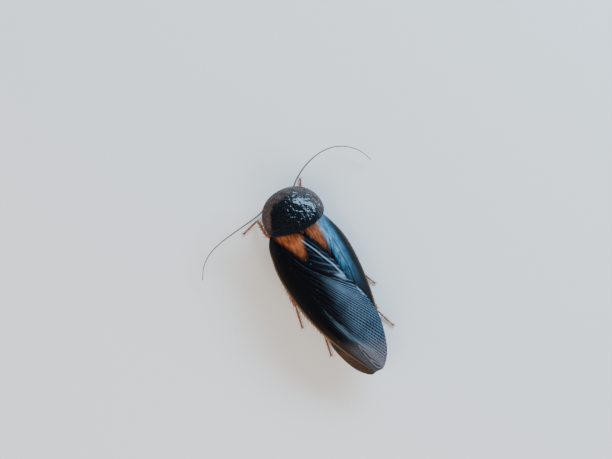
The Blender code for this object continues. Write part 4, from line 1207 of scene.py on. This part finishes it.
def inside_corners(x, y, corners, softness):
    """1 well inside three corners, 0 well outside, and a soft edge between."""
    middle = np.mean(corners, axis=0)
    inside = np.ones_like(x)
    for k in range(3):
        a, b = np.array(corners[k]), np.array(corners[(k + 1) % 3])
        normal = np.array((b[1] - a[1], a[0] - b[0])) / np.linalg.norm(b - a)
        if np.dot(middle - a, normal) < 0:
            normal = -normal
        inside *= step_between(-softness, softness, (x - a[0]) * normal[0] + (y - a[1]) * normal[1])
    return inside


class COCKROACH_OT_forewings(bpy.types.Operator):
    """Models the two leathery forewings, the left one over the right one"""

    bl_idname = "cockroach.forewings"
    bl_label = "Forewings"

    def execute(self, context):
        values = settings().wings
        material = forewing_material(values)
        for side in SIDES:
            self.forewing(side, values, material)
        return {"FINISHED"}

    def forewing(self, side, values, material):
        wing, across, share = grid_sheet(f"forewing_{side}_blade", *WING_GRID)
        plan = forewing_plan(share, across)
        skew = VEIN_SKEW * disc_share(across) ** 2 * (1 - step_between(FURROW_SHARE, VEIN_SKEW_END, share))
        veined = np.where(share < FURROW_SHARE, share, share - skew)
        lines = vein_ridges(veined, across, values.veins)
        stem = bump_at(across, COSTAL_PART, STEM_WIDTH) * step_between(1.0, 0.8, share)
        twigs = np.maximum(np.cos(share * 2 * TWIGS * math.pi + across * TWIG_SLANT), 0) ** 2
        for span in TWIG_SPANS:
            twigs *= step_between(*span, across)
        ridge, suture = (distance_to(*plan.T, line) for line in (CLAVUS_LINE, SUTURE))
        flat = BASE_VEINS + (1 - BASE_VEINS) * step_between(*BASE_SPAN, share)
        rise = values.vein_rise / MM * np.maximum(lines * flat, TWIG_RISE * twigs)
        rise = np.maximum(rise, values.stem_rise / MM * stem) + self.forms(share, across, ridge, suture)
        masks = self.masks(plan, share, across, ridge, suture)
        depth = 0.0
        if side == "right":
            plan, depth = self.under(plan, masks, share, across)
            lines *= 1 - UNDER_LINES * masks["tan"]
        x, y = plan.T
        move_vertices(wing, in_frame(np.stack((x, y, below_roof(x, y, depth) + rise), axis=1)))
        tip = step_between(*TIP_SPAN, y + TIP_SLANT * (1 - across))
        rust = inside_corners(x, y, RUST_CORNERS[side], RUST_SOFTNESS) * RUST_STRENGTH[side]
        line = np.maximum(lines, np.maximum(stem * 0.5, twigs * 0.2))
        mark(wing, across=across, share=veined, line=line, tip=tip, rust=rust, **masks)
        shaped_by(wing, "SOLIDIFY", thickness=values.thickness, offset=-1.0)
        dress(wing, "forewing", [f"forewing_{side}"], material, sharp=60)

    def forms(self, share, across, ridge, suture):
        """The bead along the outer edge, the clavus line, the furrow with its lip and the low suture."""
        furrow = (raised(FURROW_LIP, share) - raised(FURROW, share)) * step_between(*BEHIND_STEM, across)
        rise = raised(EDGE_BEAD, across) + raised(CLAVUS_RIDGE, ridge) + furrow
        return rise - WING_SEAT - SUTURE_DIP * step_between(*SUTURE_SPAN, suture)

    def masks(self, plan, share, across, ridge, suture):
        """Where the upper wing has painted sheen, where it is tan, where it is pale, with painted
        highlights on the clavus line and the streak, and where the lower wing has its painted teal
        reflection.
        """
        x, y = plan.T
        # Distance from the line of the painted highlight beside the stem.
        streak = distance_to(x, y, STEM_HIGHLIGHT_LINE) + 0.5 * step_between(*STREAK_START, y)
        # Painted sheen along the inner part, the clavus and the streak.
        sheen = step_between(*SHEEN_SPAN, x) * step_between(*SHEEN_START, share)
        sheen *= step_between(*SHEEN_OFF_SUTURE, suture)
        clavus = step_between(*CLAVUS_SHEEN_SPAN, ridge) * step_between(*CLAVUS_SHEEN_START, y)
        sheen = np.max((sheen, CLAVUS_SHEEN * clavus, raised(STREAK_SHEEN, streak)), axis=0)
        # Pale marks: the clavus line and the streak are painted highlights.
        width = PALE_LINE_WIDTH + PALE_LINE_GROWTH * step_between(*PALE_LINE_SPAN, y)
        pale = np.max((
            PALE_LINE * bump_at(ridge, 0.0, width),
            raised(PALE_SECOND_LINE, ridge),
            PALE_CORNER * inside_corners(x, y, CLAVUS_CORNER, 0.3),
            raised(PAINTED_STREAK_HIGHLIGHT, streak),
            raised(PALE_MARGIN, distance_to(x, y, MARGIN_LINE)),
        ), axis=0)
        tan = TAN_EDGE * self.within(TAN_EDGE_SPANS, across, share)
        return {"sheen": sheen, "pale": pale, "tan": tan, "teal": np.zeros_like(share)}

    def within(self, spans, *places):
        """1 where each place is past the end of its span."""
        return math.prod(step_between(*span, at) for span, at in zip(spans, places))

    def under(self, plan, masks, share, across):
        """Place and depth of the right wing, which lies under the left, and its own masks."""
        plan = turned(plan, FORE_ROWS[0][3:5], -UNDER_WING_TURN) * (-1.0, 1.0)
        x, y = plan.T
        lift = UNDER_WING_LIFT * step_between(*UNDER_WING_LIFT_SPAN, -x / smooth_between(ARCH_REACH, y))
        # The teal is a painted reflection, brightest towards the front of the lower wing.
        masks["teal"] = self.within(TEAL_REFLECTION_SPANS, x, x, y)
        masks["tan"] = self.within(UNDER_TAN_SPANS, across, share)
        masks["pale"] *= UNDER_PALE
        masks["sheen"] *= UNDER_SHEEN * (1 - masks["tan"])
        return plan, UNDER_WING_DEPTH * (1 - lift)


class COCKROACH_OT_hindwings(bpy.types.Operator):
    """Models the two folded, pleated membranes under the forewings"""

    bl_idname = "cockroach.hindwings"
    bl_label = "Hindwings"

    def execute(self, context):
        values = settings().wings
        material = hindwing_material(values)
        table = [(k / (len(HIND_ROWS) - 1), *row) for k, row in enumerate(HIND_ROWS)]
        for side in SIDES:
            wing, across, share = grid_sheet(f"hindwing_{side}_membrane", *HIND_GRID)
            rows = smooth_between(table, share)
            x = rows[:, 1] + (rows[:, 2] - rows[:, 1]) * across
            wave = np.cos(across * PLEATS * math.pi * (1 + PLEAT_SPREAD * share))
            if side == "right":
                x = -x
            z = below_roof(x, rows[:, 0], HIND_DEPTH[side]) - HIND_SEAT
            z += PLEAT_DEPTH * wave * step_between(0.0, 0.06, share)
            move_vertices(wing, in_frame(np.stack((x, rows[:, 0], z), axis=1)))
            mark(wing, line=np.abs(wave) ** 24)
            shaped_by(wing, "SOLIDIFY", thickness=values.membrane, offset=-1.0)
            dress(wing, "hindwing", [f"hindwing_{side}"], material)
        return {"FINISHED"}


class COCKROACH_OT_trunk(bpy.types.Operator):
    """Models thorax and abdomen as one skin of stepped plates, with the small plate between the wings"""

    bl_idname = "cockroach.trunk"
    bl_label = "Trunk"

    def execute(self, context):
        values = settings().trunk
        y = np.linspace(TRUNK_START, TRUNK_END, TRUNK_RINGS)
        number = np.searchsorted(SEGMENT_STARTS, y, side="right") - 1
        starts = np.array((*SEGMENT_STARTS, TRUNK_END + 0.01))
        within = (y - starts[number]) / (starts[number + 1] - starts[number])
        inset = values.step / MM * (1 - step_between(*PLATE_SPAN, within))
        rings = np.array([self.ring(at, sunk) for at, sunk in zip(y, inset)])
        for end, reach in ((0, 1), (-1, -2)):
            rings[end] = rings[reach].mean(axis=0) + (rings[end] - rings[end].mean(axis=0)) * 0.05
        trunk = grown_skin("trunk_skin", in_frame(rings))
        found = vertices_of(trunk) / MM
        place = found[:, 1] + MIDDLE
        at = np.interp(place, y, within)
        out = np.abs(found[:, 0]) / smooth_between(TRUNK_HALF_WIDTH, place)
        joint = step_between(*JOINT_SPAN, at) * step_between(TRUNK_START, 8.0, place)
        side = raised(SIDE_MARK_ACROSS, out) * raised(SIDE_MARK_ALONG, at)
        side *= step_between(*SIDE_MARK_SPAN, place)
        mark(trunk, joint=joint, side=side)
        trunk = joined("trunk_skin", [trunk, self.scutellum(), self.collar()])
        nodes = ["prothorax", "mesothorax", "metathorax", "abdomen"]
        dress(trunk, "abdomen", nodes, trunk_material(values), sharp=40)
        return {"FINISHED"}

    def ring(self, y, sunk):
        """One ring round the body, its lid under the wings and its belly curling up to the sides."""
        c, s = around(TRUNK_SIDES)
        half = float(smooth_between(TRUNK_HALF_WIDTH, y)) - sunk
        floor = float(smooth_between(TRUNK_FLOOR, y)) + sunk
        x = squared(c, TRUNK_ROUND) * half
        lid = below_roof(x, np.full_like(x, y), TRUNK_DEPTH) - sunk
        fall = TRUNK_TOP_FALL * step_between(*TRUNK_TOP_SPAN, y)
        lid = np.minimum(lid, TRUNK_TOP - fall * (1 + np.abs(x)))
        lid += raised(HUMP_ACROSS, x) * raised(HUMP_ALONG, y)
        rise = max(float(np.min(lid)) - TRUNK_LIP - floor, 0.0)
        keel = raised(KEEL, x) * float(step_between(*KEEL_SPAN, y))
        belly = floor + rise * (np.abs(x) / half) ** BELLY_CURL - keel
        middle = (float(np.min(lid)) + floor + rise) / 2
        z = middle + squared(s, TRUNK_ROUND) * np.where(s > 0, lid - middle, middle - belly)
        return np.stack((x, np.full_like(x, y), z), axis=1)

    def collar(self):
        """The soft rear of the fore body, which fills the gap between the wing bases and the shield."""
        size = settings().shield
        c, s = around(COLLAR_SIDES)
        rings = []
        for out in np.sin(np.linspace(-math.pi / 2, math.pi / 2, COLLAR_RINGS)):
            full = max(1 - abs(out) ** 4, 0.004) ** 0.5
            rear = COLLAR_REAR - out**2
            y = (COLLAR_FRONT + rear) / 2 + squared(c, 4) * (rear - COLLAR_FRONT) / 2 * full
            across = np.full_like(y, out * COLLAR_REACH)
            top = shield_height(across, y, size) - COLLAR_GAP
            z = top - COLLAR_DEPTH / 2 * (1 - full * squared(s, 4))
            rings.append(np.stack((across, y, z), axis=1))
        return grown_skin("collar", with_neck(np.array(rings)))

    def scutellum(self):
        """A domed three-cornered plate with rounded corners."""
        corners = np.array(SCUTELLUM)
        middle = corners.mean(axis=0)
        edge = []
        for at in np.arange(SCUTELLUM_SIDES) * 3 / SCUTELLUM_SIDES:
            k = int(at)
            away = corners[k] + (corners[(k + 1) % 3] - corners[k]) * (at - k) - middle
            if away[1] < 0.5:
                away *= min(1.0, SCUTELLUM_ROUND / np.linalg.norm(away))
            edge.append(away)
        rings = [
            [(*(middle + away * size), SCUTELLUM_TOP + z) for away in edge] for z, size in SCUTELLUM_DOME
        ]
        return grown_skin("scutellum", in_frame(np.array(rings)))


class COCKROACH_OT_head(bpy.types.Operator):
    """Models the head capsule with its sutures, sockets, cheeks and jaws, and the upper lip"""

    bl_idname = "cockroach.head"
    bl_label = "Head"

    def execute(self, context):
        values = settings().head
        rings = []
        for z in HEAD_MIDDLE - HEAD_HALF * np.cos(np.linspace(0, math.pi, HEAD_RINGS)):
            y, width, depth = smooth_between(HEAD_SECTIONS, z)
            nearing = max(abs(z - HEAD_MIDDLE) / HEAD_HALF - 1 + HEAD_CLOSING, 0) / HEAD_CLOSING
            closing = math.sqrt(max(1 - nearing**2, POLE**2))
            rings.append(self.ring(z, y, width * closing, depth * closing))
        capsule = grown_skin("head_capsule", with_neck(np.array(rings)))
        self.mark_face(capsule)
        capsule.data.materials.append(head_material(values))
        horn = horn_material("jaw_horn", values.mouth, 0.28)
        pieces = [self.jaw(side) for side in SIDES] + [self.throat()]
        for piece in pieces:
            piece.data.materials.append(horn)
        dress(joined("head_capsule", [capsule, *pieces]), "cuticle", ["head"])
        dress(self.lip(), "cuticle", ["labrum"], horn)
        return {"FINISHED"}

    def ring(self, z, y, width, depth):
        """A level ring of the head with the forms of the face pressed into it."""
        c, s = around(HEAD_SIDES)
        x, back = squared(c, HEAD_ROUND) * width, squared(s, HEAD_ROUND) * depth
        aside = np.abs(x)
        out = raised(BROW, z) * bump_at(x, 0.0, BROW_REACH)
        for side in (1, -1):
            socket, spot = self.from_features(x, z, side)
            out += raised(SOCKET_RIM, socket) - raised(SOCKET_PIT, socket) - raised(SPOT_DIP, spot)
        fork = np.clip((CROWN_FORK[0] - z) * CROWN_FORK[1], 0, CROWN_FORK[2])
        out -= raised(CROWN_SUTURE, aside - fork) * raised(CROWN_ALONG, z)
        line = raised(LIP_LINE, z - LIP_BOW[0] * np.cos(x * LIP_BOW[1]))
        out -= line * step_between(*LIP_LINE_SPAN, aside)
        out += raised(LIP_SWELL, z) * step_between(*LIP_SWELL_SPAN, aside)
        out *= step_between(*FACE_SPAN, s)
        out += raised(TEMPLE, z) * bump_at(np.abs(c), 1.0, TEMPLE_WIDTH)
        out -= raised(CHEEK_LINE, z - CHEEK_SLOPE * aside) * step_between(*CHEEK_SPAN, aside)
        width, depth = max(width, 0.05), max(depth, 0.05)
        out /= np.hypot(c / width, s / depth)
        return np.stack((x + out * c / width, y + back + out * s / depth, np.full_like(x, z)), axis=1)

    def from_features(self, x, z, side):
        """Distances from the feeler's socket and from the pale spot of one side."""
        socket = np.hypot(x - side * ANTENNA_ROOT[0], z - ANTENNA_ROOT[2])
        return socket, np.hypot(x - side * SPOT_PLACE[0], z - SPOT_PLACE[1])

    def mark_face(self, capsule):
        """Masks for the colour round the mouth and for the pale spots."""
        x, y, z = turned(vertices_of(capsule) / MM + (0.0, MIDDLE, 0.0), NECK, -NECK_TURN).T
        spots = np.zeros_like(x)
        for side in (1, -1):
            socket, spot = self.from_features(x, z, side)
            spots = np.max((spots, step_between(*SPOT_SPAN, spot), raised(SOCKET_PALE, socket)), axis=0)
        mouth = step_between(*MOUTH_SPAN, z) * MOUTH_STRENGTH
        mark(capsule, spot=spots * step_between(*SPOT_FRONT, y), mouth=mouth)

    def jaw(self, side):
        """A stout curved mandible beside the lip."""
        path = smooth_path([on_side(point, side) for point in JAW_PATH], 16)
        full = np.sqrt(np.clip(1.02 - np.linspace(0, 1, 17) ** 2.2, 0.001, 1))
        return grown_skin("jaw", with_neck(limb_rings(path, JAW_SIZE[0] * full, JAW_SIZE[1] * full, 20)))

    def throat(self):
        """The lower lip and its plate behind the jaws."""
        full = np.sqrt(np.clip(1.02 - np.linspace(0, 1, 15) ** 3, 0.001, 1))
        rings = self.upright_rings(THROAT_PATH, THROAT_SIZE[0] * full, THROAT_SIZE[1] * full, 24)
        return grown_skin("throat", with_neck(rings))

    def lip(self):
        """A shield-shaped upper lip with a shallow middle notch, hinged under the clypeus."""
        share = np.linspace(0, 1, 23)
        width = LIP_SIZE[0] * np.sqrt(np.clip(1.02 - np.abs(share * 1.06 - 0.1) ** 3.2, 0.004, 1))
        depth = LIP_SIZE[1] * np.sqrt(np.clip(1.02 - np.abs(share * 1.9 - 0.95) ** 4, 0.01, 1))
        rings = self.upright_rings(LIP_PATH, width, depth, 36)
        rings[..., 2] += 0.10 * bump_at(rings[..., 0], 0.0, 0.25) * share[:, None] ** 4
        rings[..., 1] -= 0.05 * bump_at(rings[..., 0], 0.0, 0.5) * np.sin(math.pi * share)[:, None]
        return grown_skin("upper_lip", with_neck(rings))

    def upright_rings(self, points, widths, depths, sides):
        """Level rings along an upright path."""
        path = smooth_path(points, len(widths) - 1)
        c, s = squared(np.array(around(sides)), 2.6)
        rings = [
            point + np.stack((c * width, s * depth, np.zeros_like(c)), axis=1)
            for point, width, depth in zip(path, widths, depths)
        ]
        return np.array(rings)


class COCKROACH_OT_eyes(bpy.types.Operator):
    """Models the kidney-shaped eyes, notched beside the feelers"""

    bl_idname = "cockroach.eyes"
    bl_label = "Eyes"

    def execute(self, context):
        material = eye_material(settings().head)
        lean = np.array(Matrix.Rotation(EYE_LEAN, 3, "Y"))
        for side in SIDES:
            fresh_selection()
            bpy.ops.mesh.primitive_uv_sphere_add(segments=64, ring_count=48, radius=1.0)
            eye = context.object
            eye.name = f"eye_{side}_ball"
            ball = vertices_of(eye)
            notch = 0.35 * bump_at(ball[:, 2], -0.25, 0.45) * step_between(0.0, -1.0, ball[:, 0])
            ball[:, 0] += notch
            ball[:, 1] += 0.3 * notch * step_between(0.2, -1.0, ball[:, 1])
            points = (ball * EYE_SIZE) @ lean.T + EYE_CENTRE
            if side == "right":
                points[:, 0] *= -1
            move_vertices(eye, with_neck(points))
            point_outwards(eye)
            dress(eye, "eye", [f"eye_{side}"], material)
        return {"FINISHED"}


def beaded_path(points, count, per_joint, radius_at):
    """A path whose radius swells at every one of its joints, and where those joints are."""
    steps = count * per_joint
    phase = np.arange(steps + 1) % per_joint
    radii = radius_at(np.linspace(0, 1, steps + 1))
    radii *= 1.0 - 0.16 * (phase == 0) + 0.03 * (phase == per_joint - 1)
    radii[[0, -1]] *= 0.35
    return smooth_path(points, steps), radii, (phase == 0).astype(float)


class COCKROACH_OT_antennae(bpy.types.Operator):
    """Models the long ringed feelers on their two root joints"""

    bl_idname = "cockroach.antennae"
    bl_label = "Antennae"

    def execute(self, context):
        size = settings().limbs
        material = feeler_material(size)
        dark = horn_material("feeler_root", size.dark)
        for side in SIDES:
            self.feeler(side, size, material)
            self.root(side, dark)
        return {"FINISHED"}

    def feeler(self, side, size, material):
        points = [on_side(p, side) for p in ANTENNA_PATH[side]]
        thick, thin = size.feeler / MM, size.feeler_tip / MM
        path, radii, ring = beaded_path(points, size.joints, 4, lambda t: thick + (thin - thick) * t**0.8)
        feeler = grown_skin(f"antenna_{side}_lash", with_neck(limb_rings(path, radii, radii, 12)))
        along = np.empty(len(feeler.data.vertices))
        feeler.data.attributes["along"].data.foreach_get("value", along)
        mark(feeler, ring=ring[np.rint(along * (len(path) - 1)).astype(int)])
        dress(feeler, "antenna", [f"antenna_near_{side}", f"antenna_far_{side}"], material)

    def root(self, side, material):
        """Scape and pedicel."""
        root, elbow = (np.array(on_side(p, side)) for p in (ANTENNA_ROOT, ANTENNA_ELBOW))
        made = []
        for start, end, profile in ((0.0, 0.74, SCAPE_PROFILE), (0.70, 1.12, PEDICEL_PROFILE)):
            ends = turned([root + (elbow - root) * share for share in (start, end)], NECK, NECK_TURN)
            made.append(limb("feeler_joint", ends, profile, 16, 20))
        dress(joined(f"antenna_{side}_root", made), "antenna", [f"antenna_base_{side}"], material)


class COCKROACH_OT_palps(bpy.types.Operator):
    """Models the jointed mouth feelers"""

    bl_idname = "cockroach.palps"
    bl_label = "Palps"

    def execute(self, context):
        material = leg_material(settings().limbs)
        for kind, path in PALP_PATHS.items():
            for side in SIDES:
                points = turned([on_side(p, side) for p in path], NECK, NECK_TURN)
                joints = []
                for k, (low, high) in enumerate(zip(points, points[1:])):
                    radius = PALP_RADIUS[kind] * (0.85 + 0.08 * k)
                    ends = (low - (high - low) * 0.06, high)
                    joints.append(limb("palp_joint", ends, PALP_PROFILE, 14, 16, (radius, radius)))
                dress(joined(f"{kind}_{side}_joints", joints), "leg", [f"{kind}_{side}"], material)
        return {"FINISHED"}


class COCKROACH_OT_cerci(bpy.types.Operator):
    """Models the ringed feelers at the end of the abdomen, with the small pegs between them"""

    bl_idname = "cockroach.cerci"
    bl_label = "Cerci"

    def execute(self, context):
        material = horn_material("cercus_horn", settings().trunk.skin, 0.35)
        for side in SIDES:
            points, peg_ends = ([on_side(p, side) for p in path] for path in (CERCUS_PATH, PEG_ENDS))
            path, radii, _ = beaded_path(points, CERCUS_RINGS, 5, self.radius)
            cercus = grown_skin(f"cercus_{side}_rings", in_frame(limb_rings(path, radii, radii * 0.75, 20)))
            piece = joined(f"cercus_{side}_rings", [cercus, limb("peg", peg_ends, PEG_PROFILE, 10, 12)])
            dress(piece, "abdomen", [f"cercus_{side}"], material)
        return {"FINISHED"}

    def radius(self, share):
        """A spindle that starts thick and ends in a point."""
        return 0.14 + 0.34 * np.sin(math.pi * (0.16 + 0.84 * share)) ** 0.7


class COCKROACH_OT_legs(bpy.types.Operator):
    """Models the six legs from coxa to pad, and the thorns and claws on them"""

    bl_idname = "cockroach.legs"
    bl_label = "Legs"

    def execute(self, context):
        values = settings().limbs
        materials = {
            "amber": leg_material(values),
            "dark": horn_material("coxa_horn", values.dark),
            "pale": horn_material("foot_pad", values.pad, 0.6, 0.0),
        }
        thorn = horn_material("thorn_horn", values.thorn, 0.25, 0.7)
        for pair in PAIRS:
            for side in SIDES:
                self.leg(pair, side, values, materials, thorn)
        return {"FINISHED"}

    def leg(self, pair, side, values, materials, thorn):
        root, tip = (np.array(on_side(p, side)) for p in COXA[pair])
        knee, ankle, toe = (np.array((*on_side(p, side), TOE_HEIGHT)[:3]) for p in LEG_POSE[pair, side])
        hip = np.array((tip[0], tip[1] + 0.2, HIP_HEIGHT))
        radius = TIBIA_RADIUS[pair]
        coxa = limb("coxa", (root, tip), COXA_PROFILE, 26, 28)
        swivel = limb("swivel", (tip + (0, -0.15, 0.05), hip), SWIVEL_PROFILE, 20, 20)
        femur = limb("femur", (hip, knee), FEMUR_PROFILE, 34, 28, FEMUR_SIZE[pair], sag=FEMUR_SAG)
        tibia = limb("tibia", (knee, ankle), TIBIA_PROFILE, 34, 20, (radius, radius), power=2.3)
        joints, pads = self.foot(ankle, toe)
        parts = {"dark": [coxa], "amber": [swivel, femur, tibia, *joints], "pale": pads}
        for name, pieces in parts.items():
            for piece in pieces:
                piece.data.materials.append(materials[name])
        whole = joined(f"leg_{pair}_{side}", [piece for pieces in parts.values() for piece in pieces])
        dress(whole, "leg", [f"{part}_{pair}_{side}" for part in ("coxa", "femur", "tibia", "tarsus")])
        dress(self.thorns(pair, side, hip, knee, ankle, toe, values.spine / MM), "leg", [], thorn)

    def foot(self, ankle, toe):
        """Five joints, four of them with a pale pad beneath, and the pad between the claws."""
        joints, pads = [], []
        for k, (low, high) in enumerate(zip(FOOT_JOINTS, FOOT_JOINTS[1:])):
            ends = []
            for share in (low - 0.015 * (k > 0), high):
                point = ankle + (toe - ankle) * share
                point[2] = FOOT_HEIGHT + (ankle[2] - FOOT_HEIGHT) * (1 - share) ** 3
                ends.append(point)
            size = FOOT_RADIUS - 0.012 * k
            joints.append(limb("foot_joint", ends, FOOT_PROFILE, 14, 16, (size, size)))
            if high < 1:
                along = (ends[1] - ends[0]) * (1, 1, 0)
                under = np.array((*ends[1][:2], PAD_HEIGHT))
                along *= 0.16 / np.linalg.norm(along)
                pads.append(limb("pad", (under - along * 1.4, under + along), PAD_PROFILE, 8, 12))
        end = toe + (toe - ankle) / np.linalg.norm(toe - ankle) * 0.34
        pads.append(limb("pad", (toe, np.array((*end[:2], 0.13))), END_PAD_PROFILE, 10, 14))
        return joints, pads

    def thorns(self, pair, side, hip, knee, ankle, toe, length):
        """Thorns in rows along the shin and under the thigh, and two claws, as one mesh of cones."""
        fresh_selection()
        bpy.ops.mesh.primitive_cone_add(
            vertices=6, radius1=0.12 * MM, radius2=0.01 * MM, depth=0.3 * MM, location=in_frame(knee)
        )
        piece = bpy.context.object
        piece.name = f"thorns_{pair}_{side}"
        bpy.ops.object.transform_apply(location=True, rotation=True, scale=True)
        bpy.ops.object.mode_set(mode="EDIT")
        along, level, upright = self.axes(knee, ankle)
        count = TIBIA_SPINES[pair]
        for k in range(count):
            share = TIBIA_SPINE_START + TIBIA_SPINE_RUN * k / (count - 1)
            centre = knee + (ankle - knee) * share
            for turn in TIBIA_SPINE_TURNS[k % 2]:
                out = level * math.cos(math.radians(turn)) + upright * math.sin(math.radians(turn))
                reach = length * (0.85 + 0.25 * math.sin(2.1 * k + turn))
                root = centre + out * TIBIA_RADIUS[pair] * 0.8
                tip = root + (out * 0.7 + along * 0.9) * reach * 0.85
                self.cone(root, tip, TIBIA_SPINE_RADIUS)
        along, level, upright = self.axes(hip, knee)
        for k in range(FEMUR_SPINES):
            centre = hip + (knee - hip) * (FEMUR_SPINE_START + FEMUR_SPINE_STEP * k)
            out = level * (-1 if k % 2 else 1)
            root = centre + out * FEMUR_SIZE[pair][0] * 0.72 - upright * 0.22
            tip = root + (out * 0.8 + along * 0.8 - upright * 0.2) * length * 0.6
            self.cone(root, tip, FEMUR_SPINE_RADIUS)
        for out in (level, -level):
            self.cone(knee + out * 0.28, knee + out * 0.42 + along * 0.75 + (0, 0, -0.25), 0.08)
        toe = np.array((*toe[:2], CLAW_HEIGHT))
        along, level, _ = self.axes(ankle, toe)
        for out in (level, -level):
            bend = toe + along * 0.36 + out * 0.22 + (0, 0, 0.05)
            tip = toe + along * 0.62 + out * 0.42
            self.cone(toe - along * 0.1, bend, 0.10, 0.055)
            self.cone(bend - along * 0.03, np.array((*tip[:2], CLAW_TIP_HEIGHT)), 0.058)
        bpy.ops.object.mode_set(mode="OBJECT")
        return piece

    def axes(self, low, high):
        """Unit vectors along a limb, level across it and square to both."""
        along = Vector(high - low).normalized()
        level = along.cross(Vector((0, 0, 1))).normalized()
        return np.array(along), np.array(level), np.array(level.cross(along))

    def cone(self, root, tip, radius, end=0.012):
        """One more cone in the mesh that is being edited."""
        tip = np.array((*tip[:2], max(tip[2], CONE_TIP_HEIGHT)))
        run = Vector(tip - root)
        bpy.ops.mesh.primitive_cone_add(
            vertices=8, radius1=radius * MM, radius2=end * MM, depth=run.length * MM,
            location=in_frame((root + tip) / 2), rotation=run.to_track_quat("Z", "Y").to_euler(),
        )


class COCKROACH_OT_stage(bpy.types.Operator):
    """Sets the floor, the soft lights and the camera at the photograph's angle"""

    bl_idname = "cockroach.stage"
    bl_label = "Stage"

    def execute(self, context):
        values = settings().stage
        fresh_selection()
        bpy.ops.mesh.primitive_plane_add(size=values.floor_size)
        floor = context.object
        floor.name = "studio_floor"
        floor.data.materials.append(floor_material(values))
        self.sky(context, values.sky)
        for name, row in LIGHTS.items():
            self.light(context, f"{name}_light", getattr(values, name), *row)
        self.camera(context, values.camera_distance)
        return {"FINISHED"}

    def sky(self, context, strength):
        """Even pale light all round, dimmed in reflections as by dark cards round the table."""
        world = bpy.data.worlds.new("studio")
        context.scene.world = world
        world.use_nodes = True
        tree = world.node_tree
        rays = node(tree, "LightPath")
        level = rays["Is Glossy Ray"] * ((SKY_MIRRORED - 1) * strength) + strength
        background = tree.nodes["Background"].inputs
        background["Color"].default_value = SKY_COLOUR
        tree.links.new((rays["Is Camera Ray"] * SKY_SEEN + level).socket, background["Strength"])

    def light(self, context, name, power, direction, size, tint, mirrored):
        """A soft light that faces the animal from a direction."""
        lamp = bpy.data.lights.new(name, "AREA")
        lamp.shape = "RECTANGLE"
        lamp.size, lamp.size_y = size
        lamp.energy = power
        lamp.color = tint
        holder = bpy.data.objects.new(name, lamp)
        context.scene.collection.objects.link(holder)
        holder.visible_glossy = mirrored
        holder.location = Vector(direction).normalized() * LIGHT_DISTANCE
        holder.rotation_euler = Vector(direction).to_track_quat("Z", "Y").to_euler()

    def camera(self, context, distance):
        """A camera whose frame puts PHOTO_POINT on PHOTO_PIXEL at the photograph's scale."""
        lens = bpy.data.cameras.new("camera")
        lens.sensor_fit = "HORIZONTAL"
        lens.sensor_width = SENSOR_WIDTH
        lens.lens = SENSOR_WIDTH * distance / MM * PIXELS_PER_MM / PHOTO_SIZE[0]
        camera = bpy.data.objects.new("camera", lens)
        context.scene.collection.objects.link(camera)
        back = VIEW_RIGHT.cross(VIEW_UP).normalized()
        right = (PHOTO_SIZE[0] / 2 - PHOTO_PIXEL[0]) / PIXELS_PER_MM
        up = (PHOTO_PIXEL[1] - PHOTO_SIZE[1] / 2) / PIXELS_PER_MM
        aim = Vector(in_frame(PHOTO_POINT)) + (VIEW_RIGHT * right + VIEW_UP * up) * MM
        turn = Matrix((VIEW_RIGHT, VIEW_UP, back)).transposed().to_4x4()
        camera.matrix_world = Matrix.Translation(aim + back * distance) @ turn
        context.scene.camera = camera


class CockroachSettings(bpy.types.PropertyGroup):
    """Everything that a user would change."""

    shield: PointerProperty(name="Pronotum", description="Shield over the head", type=ShieldSettings)
    wings: PointerProperty(name="Wings", description="Forewings and hindwings", type=WingSettings)
    trunk: PointerProperty(name="Trunk", description="Thorax and abdomen", type=TrunkSettings)
    head: PointerProperty(name="Head", description="Head, eyes and mouth", type=HeadSettings)
    limbs: PointerProperty(name="Limbs", description="Legs and feelers", type=LimbSettings)
    stage: PointerProperty(name="Stage", description="Floor, lights and camera", type=StageSettings)


OPERATORS = (
    COCKROACH_OT_pronotum,
    COCKROACH_OT_forewings,
    COCKROACH_OT_hindwings,
    COCKROACH_OT_trunk,
    COCKROACH_OT_head,
    COCKROACH_OT_eyes,
    COCKROACH_OT_antennae,
    COCKROACH_OT_palps,
    COCKROACH_OT_cerci,
    COCKROACH_OT_legs,
    COCKROACH_OT_stage,
)
GROUPS = {
    "shield": ShieldSettings,
    "wings": WingSettings,
    "trunk": TrunkSettings,
    "head": HeadSettings,
    "limbs": LimbSettings,
    "stage": StageSettings,
}


class COCKROACH_PT_panel(bpy.types.Panel):
    """The pieces of the animal, in the sidebar of the 3D view"""

    bl_label = "Wood Cockroach"
    bl_space_type = "VIEW_3D"
    bl_region_type = "UI"
    bl_category = "Cockroach"

    def draw(self, context):
        for operator in OPERATORS:
            self.layout.operator(operator.bl_idname)
        for name, group in GROUPS.items():
            box = self.layout.box()
            for key in group.__annotations__:
                box.prop(getattr(settings(), name), key)


CLASSES = (*GROUPS.values(), CockroachSettings, *OPERATORS, COCKROACH_PT_panel)


def register():
    for item in CLASSES:
        bpy.utils.register_class(item)
    bpy.types.Scene.cockroach = PointerProperty(type=CockroachSettings)


def unregister():
    del bpy.types.Scene.cockroach
    for item in reversed(CLASSES):
        bpy.utils.unregister_class(item)


def main():
    register()
    for operator in OPERATORS:
        group, name = operator.bl_idname.split(".")
        getattr(getattr(bpy.ops, group), name)()


if __name__ == "__main__":
    main()
